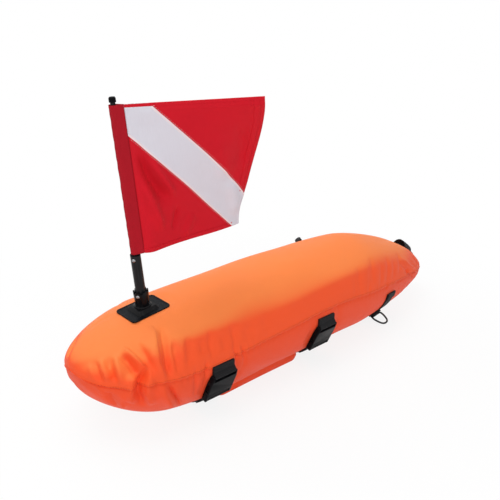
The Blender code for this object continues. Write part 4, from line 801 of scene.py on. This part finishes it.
def bar_spot(label, local_y):
    """Run and height on the skin of a buckle's bar."""
    station = strap_stations[label]
    world = np.array(buckle_frames[label] @ Vector((0, local_y, buckle_thickness / 2)))
    angle, height, probe = buckle_angle, buckle_thickness / 2, 0.01
    for step in range(12):
        here = skin(station, angle, height)
        by_angle = (skin(station, angle + probe, height) - here) / probe
        by_height = (skin(station, angle, height + clearance) - here) / clearance
        miss = world - here
        spread = by_angle[1] * by_height[2] - by_angle[2] * by_height[1]
        angle += (miss[1] * by_height[2] - miss[2] * by_height[1]) / spread
        height += (by_angle[1] * miss[2] - by_angle[2] * miss[1]) / spread
    return -angle * side_radius, height


def eye(run, height, toward):
    """The webbing's middle line round a bar, from its low side to its high one."""
    radius = bar_size / math.sqrt(2) + clearance + webbing_thickness / 2
    turns = [radians(-90 + 180 * step / 14) for step in range(15)]
    return [(run + toward * radius * cos(turn), height + radius * sin(turn)) for turn in turns]


low_layer = webbing_lay + webbing_thickness / 2
high_layer = low_layer + webbing_thickness + 0.0002
half_buckle = (female_length + male_base_length) / 2
far_run = -strap_far_angle * side_radius
tab_tail, fold_back, sewn_pitch = 0.0125, 0.030, 0.0038
box_rows = []


def sewn_box(label, start, end, layer):
    """A rectangle of stitches with a cross in it, between two runs."""
    station, inner = strap_stations[label], strap_widths[label] / 2 - 0.004
    left, right = station - inner, station + inner
    corners = [(left, start), (right, start), (right, end), (left, end)]
    lines = [[a, b] for a, b in zip(corners, corners[1:] + corners[:1])] + [corners[::2], corners[1::2]]
    for line in lines:
        box_rows.append(skin_row([(mark, -run / side_radius) for mark, run in line],
                                 layer + webbing_thickness / 2, sewn_pitch))


for label in buckles:
    station = strap_stations[label]
    run, height = bar_spot(label, half_buckle - bar_size / 2)
    tail = run - height * 1.3
    band(label + "_tab_webbing", label + "_tab", station, [
        (tail - tab_tail, low_layer), (tail, low_layer), *eye(run, height, 1), (tail, high_layer),
        (tail - tab_tail + 0.001, high_layer)], wide_webbing)
    sewn_box(label, tail - tab_tail + 0.0025, tail - 0.001, high_layer)
    run, height = bar_spot(label, bar_size / 2 - half_buckle)
    land = run + height * 1.3
    band(label + "_strap_webbing", label + "_strap", station, [
        (land + fold_back, high_layer), (land, high_layer), *eye(run, height, -1)[::-1], (land, low_layer),
        (far_run, low_layer)], wide_webbing)
    sewn_box(label, land + fold_back - 0.014, land + fold_back - 0.002, high_layer)
    sewn_box(label, far_run - 0.018, far_run - 0.003, low_layer)

rear = strap_stations["rear"]
rear_start = radians(7) * side_radius
rear_tab_end = rear_start + 0.018
band("rear_strap_webbing", "rear_strap", rear, [(rear_start, low_layer), (far_run, low_layer)], rear_webbing)
band("rear_tab_webbing", "rear_tab", rear, [(rear_start - 0.0005, high_layer), (rear_tab_end, high_layer)],
     rear_webbing)
sewn_box("rear", rear_start + 0.0025, rear_tab_end - 0.0025, high_layer)
sewn_box("rear", far_run - 0.018, far_run - 0.003, low_layer)

# The D-ring lies on the floor in its sewn loop
loop_low = -(webbing_thickness / 2 + clearance + ring_wire)
loop_high = loop_low + webbing_thickness
ring_gap, hump_foot_gap = 0.0005, 0.0012
ring_place = skin_frame(rear, ring_angle,
                        loop_low - webbing_lay - webbing_thickness * 1.5 - clearance - ring_gap)
wrap = ring_wire + clearance + webbing_thickness / 2
loop_end, loop_width = ring_loop_length / 2, ring_width - 5 * ring_wire
hump = [(-wrap * cos(pi * step / 14), wrap * sin(pi * step / 14)) for step in range(15)]
hump_foot = wrap + hump_foot_gap
hump = [(-loop_end, loop_high), (-hump_foot, loop_high), *hump, (hump_foot, loop_high),
        (loop_end, loop_high)]
for name, path, nodes in (("ring_loop_hump", hump, ["ring_loop"]),
                          ("ring_loop_base", [(-loop_end, loop_low), (loop_end, loop_low)], [])):
    dressed(strip(name, path, 0.0012, loop_width, lambda offset, side, height: through(
        ring_place, np.stack([offset, side, height], axis=-1)), 12, webbing_thickness * 0.94, 0.0004), *nodes)
for side in (-1, 1):
    spots = np.array([(x, side * (loop_end - 0.0018), loop_low + webbing_thickness * 1.5)
                      for x in np.arange(-0.013, 0.0131, sewn_pitch)])
    ways = [np.tile(np.array(ring_place.col[axis][:3]), (len(spots), 1)) for axis in (0, 2)]
    box_rows.append((through(ring_place, spots), *ways))
ring_lean = math.atan2(ring_place.col[2][2], -ring_place.col[2][1])
ring_turn = ring_lean + math.asin(min((ring_place.translation.z - ring_wire) / ring_depth, 1.0))
half_wide = ring_width / 2 - ring_wire
ring_half = [(half_wide, 0), (half_wide * 0.98, ring_depth * 0.45), (half_wide * 0.55, ring_depth)]
ring_outline = ring_half + [(-x, out) for x, out in ring_half[::-1]]
for step in range(3):
    ring_outline = [tuple(a * keep + b * (1 - keep) for a, b in zip(here, there))
                    for here, there in zip(ring_outline, ring_outline[1:] + ring_outline[:1])
                    for keep in (0.75, 0.25)]
ring_line = [ring_place @ Vector((x, -out * sin(ring_turn), out * cos(ring_turn))) for x, out in ring_outline]
dressed(closed_cord("d_ring_wire", ring_line, ring_wire, black_metal, 6), "d_ring", body="ring")

# Grab loop
grab_probe = 0.087
grab_reach = float(np.linalg.norm(bare_skin(grab_station, grab_angle + grab_probe)
                                  - bare_skin(grab_station, grab_angle - grab_probe))) / (grab_probe * 2)
grab_middle = -grab_angle * grab_reach
grab_arch = []
for part in range(25):
    angle = pi * part / 24
    rise = (grab_rise - webbing_thickness / 2) * sin(angle)
    aside = (grab_span / 2 + webbing_thickness / 2) * cos(angle) * (1 - 0.25 * sin(angle))
    grab_arch.append((grab_middle + aside, webbing_lay + max(rise, webbing_thickness / 2)))
grab_spread = grab_span / 2 + webbing_thickness + grab_foot
band("grab_loop_webbing", "grab_loop", grab_station, [
    (grab_middle + grab_spread, low_layer), *grab_arch, (grab_middle - grab_spread, low_layer)], grab_webbing,
    grab_reach)
for side in (-1, 1):
    for run in (grab_spread - 0.002, grab_spread - grab_foot + 0.001):
        line = [(grab_station + mark, -(grab_middle + side * run) / grab_reach) for mark in (-0.015, 0.015)]
        box_rows.append(skin_row(line, low_layer + webbing_thickness / 2, sewn_pitch, grab_reach))
dressed(stitched("webbing_stitches", box_rows, black_thread, 0.00042, 0.0030))


def cover_row(line):
    """A stitch row that follows the cover's folds."""
    marks, turns = np.array(resampled([(mark, turn * side_radius) for mark, turn in line], stitch_pitch)).T
    turns = turns / side_radius
    places = skin(marks, turns, cover_folds(marks, turns) + upper_lap(marks, turns) + 0.0001)
    return between(places, outward(marks, turns))


# Cover stitching: two rows beside each sewn seam, in thread darkened as painted shade along the seams
seam_rows = []
for away in (0.0016 / side_radius, 0.0058 / side_radius):
    seam_rows.append([(mark, float(near_seam(mark)) + away) for mark in np.linspace(0.012, 1.045, 160)])
    for part in (np.linspace(0.012, 0.265, 50), np.linspace(0.63, 1.045, 60)):
        seam_rows.append([(mark, far_seam - away) for mark in part])
dressed(stitched("cover_seam_stitches", [cover_row(line) for line in seam_rows], orange_thread))


# Flag. Rows of width and height, then the line's places along and down, in millimetres
hung_folds = [
    (9.0, 13.0, (22, 70), (42, 120), (70, 176)), (7.0, -10.5, (44, 86), (64, 126), (84, 162)),
    (8.5, -11.0, (28, 120), (42, 172), (56, 222)), (4.5, 6.2, (88, 176), (83, 206), (76, 226)),
    (8.0, -4.4, (120, 200), (110, 225), (100, 246)), (16.0, -7.0, (150, 60), (172, 110), (186, 150)),
    (12.0, 5.6, (190, 40), (204, 90), (210, 130)), (12.0, -6.0, (190, 150), (205, 190), (212, 235))]


def flag_folds(along, down):
    """Soft folds of the hung cloth, off its smooth hanging surface."""
    total = 0.0034 * np.sin(along * 30 + down * 9) * np.sin(down * 16 + 0.5)
    for width, height, *line in hung_folds:
        marks = [(x / 1000, y / 1000) for x, y in line]
        total += crease(along, down, marks, width / 1000, height / 1000, fade=0.35, tip=0.1, even=True)
    return total * ease((along - sleeve_depth) / 0.02) * ease((down - flag_stiff) / 0.03)


def headed(x, y, height):
    """Points beside the rod, turned to the flag's heading and leant with the mast."""
    return through(mast_frame, np.stack([x * cos(flag_heading) - y * sin(flag_heading),
                                         x * sin(flag_heading) + y * cos(flag_heading), height], axis=-1))


def flag_spot(along, down, off=0.0):
    """Places of the hung flag in the world: below its stiff top hem it turns away past the sleeve."""
    rise = foot_rise * ease((down / flag_hoist - 0.7) / 0.3)
    share = np.maximum(down - flag_stiff, 0) / (flag_hoist - flag_stiff)
    turn = flag_turn * (1 - np.maximum(1 - share, 0) ** turn_depth_power)
    rate = np.maximum(turn / turn_span, tiny)
    bend = rate * np.clip(along - turn_start, 0, turn_span)
    rest = np.maximum(along - turn_start - turn_span, 0)
    curl = ease((along / flag_fly - 0.955) / 0.09) * ease((share - 0.60) / 0.4) * 0.010
    off = off + flag_folds(along, down) + curl
    ahead = (np.minimum(along, turn_start) + np.sin(bend) / rate + (rest - curl * 0.8) * np.cos(bend)
             - off * np.sin(bend))
    aside = (1 - np.cos(bend)) / rate + rest * np.sin(bend) + off * np.cos(bend)
    sag = flag_sag * share * along / flag_fly
    return headed(ahead, aside, flag_foot_height + flag_hoist - down - sag + rise)


flag_start = sleeve_depth + clearance
stripe_run = Vector((0.92, 1.0, 0)).normalized()
stripe_across = Vector((stripe_run.y, -stripe_run.x, 0))
upper_edge, lower_edge = Vector((0.055, 0, 0)), Vector((0, 0.0308, 0))
stripe_tuck, hem_width, stripe_hem = 0.006, 0.0085, 0.0034
lower_at_sleeve = lower_edge + stripe_run * (flag_start / stripe_run.x)
upper_at_fly = upper_edge + stripe_run * ((flag_fly - upper_edge.x) / stripe_run.x)
lower_at_foot = lower_edge + stripe_run * ((flag_hoist - lower_edge.y) / stripe_run.y)


def flag_cut(name, node, sides, finish, thickness=flag_cloth):
    """Cloth cut from the flag's rectangle by straight lines, then hung."""
    work = bmesh.new()
    spread = Matrix.Translation(((flag_start + flag_fly) / 2, flag_hoist / 2, 0)) @ Matrix.Diagonal(
        ((flag_fly - flag_start) / 2, flag_hoist / 2, 1, 1))
    bmesh.ops.create_grid(work, x_segments=96, y_segments=110, size=1.0, matrix=spread)
    for point, normal in sides:
        bmesh.ops.bisect_plane(work, geom=work.verts[:] + work.edges[:] + work.faces[:], dist=1e-5,
                               plane_co=point, plane_no=normal, clear_outer=True)

    def place(along, down):
        return flag_spot(along, down), np.stack([along, down], axis=-1)

    return dressed(cloth(name, work, place, finish, thickness, sharp=80), node, body="flag")


def flag_strip(name, start, end, width, finish=red_cloth, thickness=0.0022, columns=110, rows=4,
               off=0.0, crown=0.0):
    """A narrow strip of cloth on the flag between two (along, down) points, width to one side."""
    start, end = np.array(start), np.array(end)
    ahead = (end - start) / np.linalg.norm(end - start)
    across = np.array([ahead[1], -ahead[0]]) * width

    def place(run, side):
        spots = start + run[:, None] * (end - start) + side[:, None] * across
        swell = crown * ease(side / 0.16) * ease((1 - side) / 0.16)
        swell *= ease(run / 0.02) * ease((1 - run) / 0.02)
        return flag_spot(spots[:, 0], spots[:, 1], off + swell), spots

    piece = cloth(name, grid(columns, rows), place, finish, thickness, bevel=0.0004, sharp=80)
    return dressed(piece, body="flag")


tucked = stripe_across * stripe_tuck
field_up = flag_cut("flag_red_upper", "flag_field_upper", [(upper_edge - tucked, -stripe_across)], red_cloth)
field_low = flag_cut("flag_red_lower", "flag_field_lower", [(lower_edge + tucked, stripe_across)], red_cloth)
stripe = flag_cut("flag_white_stripe", "flag_stripe",
                  [(upper_edge, stripe_across), (lower_edge, -stripe_across)],
                  white_cloth, flag_cloth + 0.0010)
red_hems = [
    flag_strip("flag_top_hem", (flag_start, 0.0052), (flag_fly, 0.0052), 0.0052, thickness=0.0020),
    flag_strip("batten_pocket", (flag_start, 0.0128), (batten_end + 0.0025, 0.0128), 0.0126, thickness=0.0008,
               rows=16, off=0.0009, crown=0.0017),
    flag_strip("flag_fly_hem", (flag_fly - hem_width, 0.0), (flag_fly - hem_width, upper_at_fly.y - 0.010),
               -hem_width),
    flag_strip("flag_foot_hem", (flag_start, flag_hoist), (lower_at_foot.x, flag_hoist), hem_width)]
white_hems = [
    flag_strip("stripe_upper_hem", (upper_edge + stripe_run * 0.006).to_2d(), upper_at_fly.to_2d(),
               -stripe_hem, stripe_hem_cloth, 0.0024),
    flag_strip("stripe_lower_hem", lower_at_sleeve.to_2d(), lower_at_foot.to_2d(), stripe_hem,
               stripe_hem_cloth, 0.0024),
    flag_strip("stripe_fly_hem", (flag_fly - 0.006, upper_at_fly.y), (flag_fly - 0.006, flag_hoist), -0.006,
               white_cloth, 0.0024, 40)]


def flag_row(start, end, off):
    """A stitch row on the flag between two (along, down) points, on one side of the cloth."""
    count = max(2, int(math.dist(start, end) / stitch_pitch))
    share = np.linspace(0, 1, count + 1)[:, None]
    marks = np.array(start) * (1 - share) + np.array(end) * share
    places = flag_spot(marks[:, 0], marks[:, 1], off)
    return between(places, flag_spot(marks[:, 0], marks[:, 1], off + math.copysign(0.002, off)) - places)


red_rows, pale_rows = [], []
fly_row, foot_row, stitch_off = flag_fly - 0.007, flag_hoist - 0.007, 0.00125
for off in (-stitch_off, stitch_off):
    red_rows += [flag_row((fly_row, 0.012), (fly_row, upper_at_fly.y - 0.006), off),
                 flag_row((flag_start + 0.004, foot_row), (lower_at_foot.x - 0.008, foot_row), off)]
    for edge, end, side in ((upper_edge, upper_at_fly, 1), (lower_at_sleeve, lower_at_foot, -1)):
        inner = stripe_across * (stripe_hem * 0.55 * side)
        pale_rows.append(flag_row((edge + inner + stripe_run * 0.006).to_2d(),
                                  (end + inner - stripe_run * 0.008).to_2d(), off * 1.1))
red_rows.append(flag_row((flag_start + 0.004, 0.0118), (batten_end, 0.0118), 0.0018))
dressed(stitched("flag_red_stitches", red_rows, red_thread), body="flag")
dressed(stitched("flag_pale_stitches", pale_rows, pale_thread), body="flag")

# Sleeve round the rod, closed by its seam
sleeve_round = rod_radius + ferrule_wall + sleeve_room + flag_cloth / 2
sleeve_low = flag_foot_height + ferrule_wall * 2 + clearance
sleeve_flat_share, sleeve_girth = 0.19, 0.055


def sleeve_place(around, down):
    lean = math.acos(sleeve_round / sleeve_depth)
    turn = lean + (tau - 2 * lean) * np.clip((around - sleeve_flat_share) / (1 - 2 * sleeve_flat_share), 0, 1)
    x, y = sleeve_round * np.cos(turn), sleeve_round * np.sin(turn)
    side = np.where(around < 0.5, 1.0, -1.0)
    out = np.clip(1 - np.where(around < 0.5, around, 1 - around) / sleeve_flat_share, 0, 1)
    x = x + (sleeve_depth - x) * out
    y = y + (side * flag_cloth * 0.9 - y) * out
    pull = 0.0003 * np.sin(down * 23 + around * 5) * np.sin(down * 71 + 1.0) + 0.0005 * np.exp(
        -((down - 0.46) / 0.03) ** 2) * np.sin(around * 9)
    grow = 1 + np.where(out > 0.2, 0, pull / sleeve_round)
    x, y = x * grow, y * grow + pull * out * side * (1 - out) * 2
    height = flag_foot_height + flag_hoist - down * (flag_foot_height + flag_hoist - sleeve_low)
    return headed(x, y, height), np.stack([around * sleeve_girth, down * flag_hoist], axis=-1)


sleeve = dressed(cloth("flag_hoist_sleeve", grid(56, 110), sleeve_place, sleeve_cloth, flag_cloth, sharp=80),
                 "flag_sleeve", body="flag")
sleeve_seam = sleeve_depth - 0.0022
dressed(stitched("sleeve_stitches", [flag_row((sleeve_seam, 0.004), (sleeve_seam, flag_hoist - 0.004), off)
                                     for off in (-0.0014, 0.0014)], red_thread), body="flag")


# Mouldings and metal

def turned(name, node, profile, sides=64):
    """A turned piece of the mast from a closed profile of (radius, height) points."""
    work = bmesh.new()
    points = [work.verts.new((radius, 0, height)) for radius, height in profile]
    edges = [work.edges.new((a, b)) for a, b in zip(points, points[1:] + points[:1])
             if a.co.x > 0 or b.co.x > 0]
    bmesh.ops.spin(work, geom=points + edges, axis=(0, 0, 1), cent=(0, 0, 0), steps=sides, angle=tau,
                   use_merge=True)
    bmesh.ops.remove_doubles(work, verts=work.verts[:], dist=merge_gap)
    bmesh.ops.recalc_face_normals(work, faces=work.faces[:])
    bmesh.ops.transform(work, matrix=mast_frame, verts=work.verts[:])
    dressed(built(name, work, braided_tube, 30), node)


tube_radius, tube_wall, tube_foot, rim = 0.0090, 0.0011, 0.0070 + clearance, 0.0004
tube_inner = tube_radius - tube_wall
turned("woven_mast_tube", "lower_tube", [
    (tube_inner, tube_foot), (tube_radius, tube_foot), (tube_radius, flag_foot_height - rim),
    (tube_radius - rim, flag_foot_height), (tube_inner, flag_foot_height)])
rod_foot, rod_top = flag_foot_height - ferrule_wall, flag_foot_height + flag_hoist + 0.0100
turned("flag_rod", "upper_rod", [
    (0.0, rod_foot), (rod_radius, rod_foot), (rod_radius, rod_top), (0.0, rod_top)], 40)

patch_length, patch_width, patch_corner, patch_thickness = 0.080, 0.060, 0.008, 0.0020
patch = bmesh.new()
patch_face = patch.faces.new([patch.verts.new((x, y, clearance)) for x, y in rounded_rectangle(
    patch_length, patch_width, patch_corner, 10)])
grown = bmesh.ops.extrude_face_region(patch, geom=[patch_face], use_keep_orig=True)["geom"]
top_points = [item for item in grown if isinstance(item, bmesh.types.BMVert)]
top = [item for item in grown if isinstance(item, bmesh.types.BMFace)]
bmesh.ops.translate(patch, verts=top_points, vec=(0, 0, patch_thickness))
bmesh.ops.inset_region(patch, faces=top, thickness=0.0022, use_even_offset=True)
bmesh.ops.inset_region(patch, faces=top, thickness=0.0008, depth=-0.0009, use_even_offset=True)
bmesh.ops.recalc_face_normals(patch, faces=patch.faces[:])
bmesh.ops.transform(patch, matrix=mast_frame, verts=patch.verts[:])
dressed(soften(built("mast_patch", patch, patch_rubber, 30), 0.00035, 3, 25), "socket_patch")

# Copies of rigid solids, with their triangles joined into faces and their edges rounded
rigid_copies = [
    ("mast_socket", "notched_socket", socket_moulding, 0.0005, 40),
    ("mast_ferrule", "rod_reducer", black_moulding, 0.0002, 50),
    ("rod_tip", "rod_end_cap", black_moulding, 0.0003, 50)]
buckle_parts = [("female", "housing", 0.0004, 50), ("male", "plug", 0.0004, 50),
                ("arm_a", "prong_a", 0.0005, 40), ("arm_b", "prong_b", 0.0005, 40)]
for label in buckles:
    rigid_copies += [(f"{label}_buckle_{part}", f"{label}_buckle_{name}", black_moulding, width, angle)
                     for part, name, width, angle in buckle_parts]
rigid_copies += [
    ("valve_body", "valve_barrel", black_moulding, 0.0003, 40),
    ("valve_lock_ring", "valve_locking_ring", black_moulding, 0.0004, 40),
    ("valve_mouthpiece", "valve_mouth_tube", valve_rubber, 0.0003, 40),
    ("valve_cap", "valve_dust_cap", valve_rubber, 0.0004, 40),
    ("zip_slider", "zip_runner", black_metal, 0.0003, 40),
    ("zip_pull", "zip_pull_tab", black_metal, 0.0004, 40),
    ("zip_teeth_upper", "zip_tooth_row_upper", black_moulding, 0.0003, 40),
    ("zip_teeth_lower", "zip_tooth_row_lower", black_moulding, 0.0003, 40)]
body_of = {node: body for body, nodes in frame["record"]["behaviour"]["bodies"].items() for node in nodes}
for node, name, finish, width, angle in rigid_copies:
    work = merged_solid(node)
    bmesh.ops.dissolve_limit(work, angle_limit=radians(1), verts=work.verts[:], edges=work.edges[:])
    dressed(soften(built(name, work, finish, 35), width, 2, angle), node, body=body_of[node])

# Zip tapes
tape_rows, tape_room, tape_thickness, tape_top = [], 0.0003, 0.0008, 0.0012
for name, node, sign in (("zip_tape_above", "zip_tape_upper", -1), ("zip_tape_below", "zip_tape_lower", 1)):
    def tape_place(along, across, sign=sign):
        station = zip_start + (zip_end - zip_start) * along
        run = tape_room + (zip_tape_width - tape_room) * across
        spots = skin(station, far_seam + sign * run / side_radius, clearance + tape_thickness / 2)
        return spots, np.stack([station, run], axis=-1)

    dressed(cloth(name, grid(170, 8), tape_place, zip_band, tape_thickness), node)
    for away in (0.0095, 0.0125):
        line = [(mark, far_seam + sign * away / side_radius) for mark in (zip_start + 0.003, zip_end - 0.003)]
        tape_rows.append(skin_row(resampled(line, 0.02), tape_top, stitch_pitch))
dressed(stitched("zip_stitches", tape_rows, orange_thread, 0.0003, 0.0027))

# Bladder
air_bladder = built("air_bladder", merged_solid("bladder"), film, 60)
round_off = air_bladder.modifiers.new("round_off", "SUBSURF")
round_off.levels = round_off.render_levels = 1
dressed(air_bladder, "bladder")

kept_solids = {
    "backing_plate": black_moulding, "ballast_weight": cast_lead, "tube_plug": black_moulding,
    "lower_button": bright_metal, "upper_button": bright_metal, "lower_button_spring": bright_metal,
    "upper_button_spring": bright_metal, "top_batten": black_moulding, "valve_flange": valve_rubber}
for node, finish in kept_solids.items():
    frame["nodes"][node].data.materials.clear()
    frame["nodes"][node].data.materials.append(finish)


# Floor, camera and light

def seen_plain(tree, *rays):
    """1 for the rays that see the plain white background."""
    path = add_node(tree, "LightPath", out=None)
    seen = path["Is Camera Ray"]
    for ray in rays:
        seen = calc(tree, "MAXIMUM", seen, path[ray])
    return seen


def floor_finish():
    """Pale floor that turns to plain white away from the float and keeps its shadow near it."""
    made = Finish("pale_floor")
    tree = made.tree
    grain = {"Height": noise(tree, made.object, 220.0, 2.0), "Distance": 0.0001, "Strength": 1.0}
    looks = {"Base Color": (0.93, 0.93, 0.93), "Roughness": 0.9, "Normal": add_node(tree, "Bump", grain)}
    for label, value in looks.items():
        feed(tree, made.shader.inputs[label], value)
    apart = add_node(tree, "VectorMath", {0: made.object}, "Value", operation="LENGTH")
    spread = add_node(tree, "MapRange", {"Value": apart, "From Min": 0.15, "From Max": 0.9, "To Min": 0.84},
                      interpolation_type="SMOOTHSTEP")
    shown = add_node(tree, "MixShader", {0: calc(tree, "MULTIPLY", spread, seen_plain(tree, "Is Glossy Ray")),
                                         1: made.shader.outputs[0], 2: add_node(tree, "Emission")})
    feed(tree, tree.nodes["Material Output"].inputs["Surface"], shown)
    return made.made


floor_work = bmesh.new()
bmesh.ops.create_circle(floor_work, cap_ends=True, segments=96, radius=9.0)
built("pale_floor", floor_work, floor_finish())

world = bpy.data.worlds.new("soft_studio")
bpy.context.scene.world = world
world.use_nodes = True
backdrop = world.node_tree.nodes["Background"]
ambient = 0.46
seen = seen_plain(world.node_tree, "Is Glossy Ray", "Is Transmission Ray")
feed(world.node_tree, backdrop.inputs["Strength"],
     calc(world.node_tree, "MULTIPLY_ADD", seen, 1.0 - ambient, ambient))
backdrop.inputs["Color"].default_value = (1, 1, 1, 1)


def soft_lamp(name, place, target, size, power):
    data = bpy.data.lights.new(name, "AREA")
    data.shape, data.energy = "RECTANGLE", power
    data.size, data.size_y = size
    lamp = linked(name, data)
    lamp.location = place
    lamp.rotation_euler = (Vector(target) - Vector(place)).to_track_quat("-Z", "Y").to_euler()


soft_lamp("overhead_softbox", (-0.45, 0.45, 2.25), (0, 0, 0.1), (2.4, 1.9), 34)
soft_lamp("camera_side_fill", (-1.5, -1.9, 1.2), (0, 0, 0.15), (1.6, 1.2), 17)

# The camera solved from the photograph: angles in radians, and the focal length and shifts in its pixels
yaw, pitch, roll, distance, focal = 0.794185, 0.361404, 0.0432568, 1.35801, 600.0
shift_right, shift_down = 36.8496, 54.4791
camera_data = bpy.data.cameras.new("camera")
camera_data.sensor_width, camera_data.lens, camera_data.clip_start = 36, 43.2, 0.05
camera = linked("camera", camera_data)
ahead = Vector((cos(yaw) * cos(pitch), sin(yaw) * cos(pitch), -sin(pitch)))
level = Vector((sin(yaw), -cos(yaw), 0))
upright = level.cross(ahead)
right = level * cos(roll) + upright * sin(roll)
up = upright * cos(roll) - level * sin(roll)
spot = (Vector((0, 0, 0.0916)) - ahead * distance - right * (shift_right * distance / focal)
        + up * (shift_down * distance / focal))
camera.matrix_world = Matrix.Translation(spot) @ Matrix((right, up, -ahead)).transposed().to_4x4()
bpy.context.scene.camera = camera
bpy.context.scene.view_settings.view_transform = "Standard"
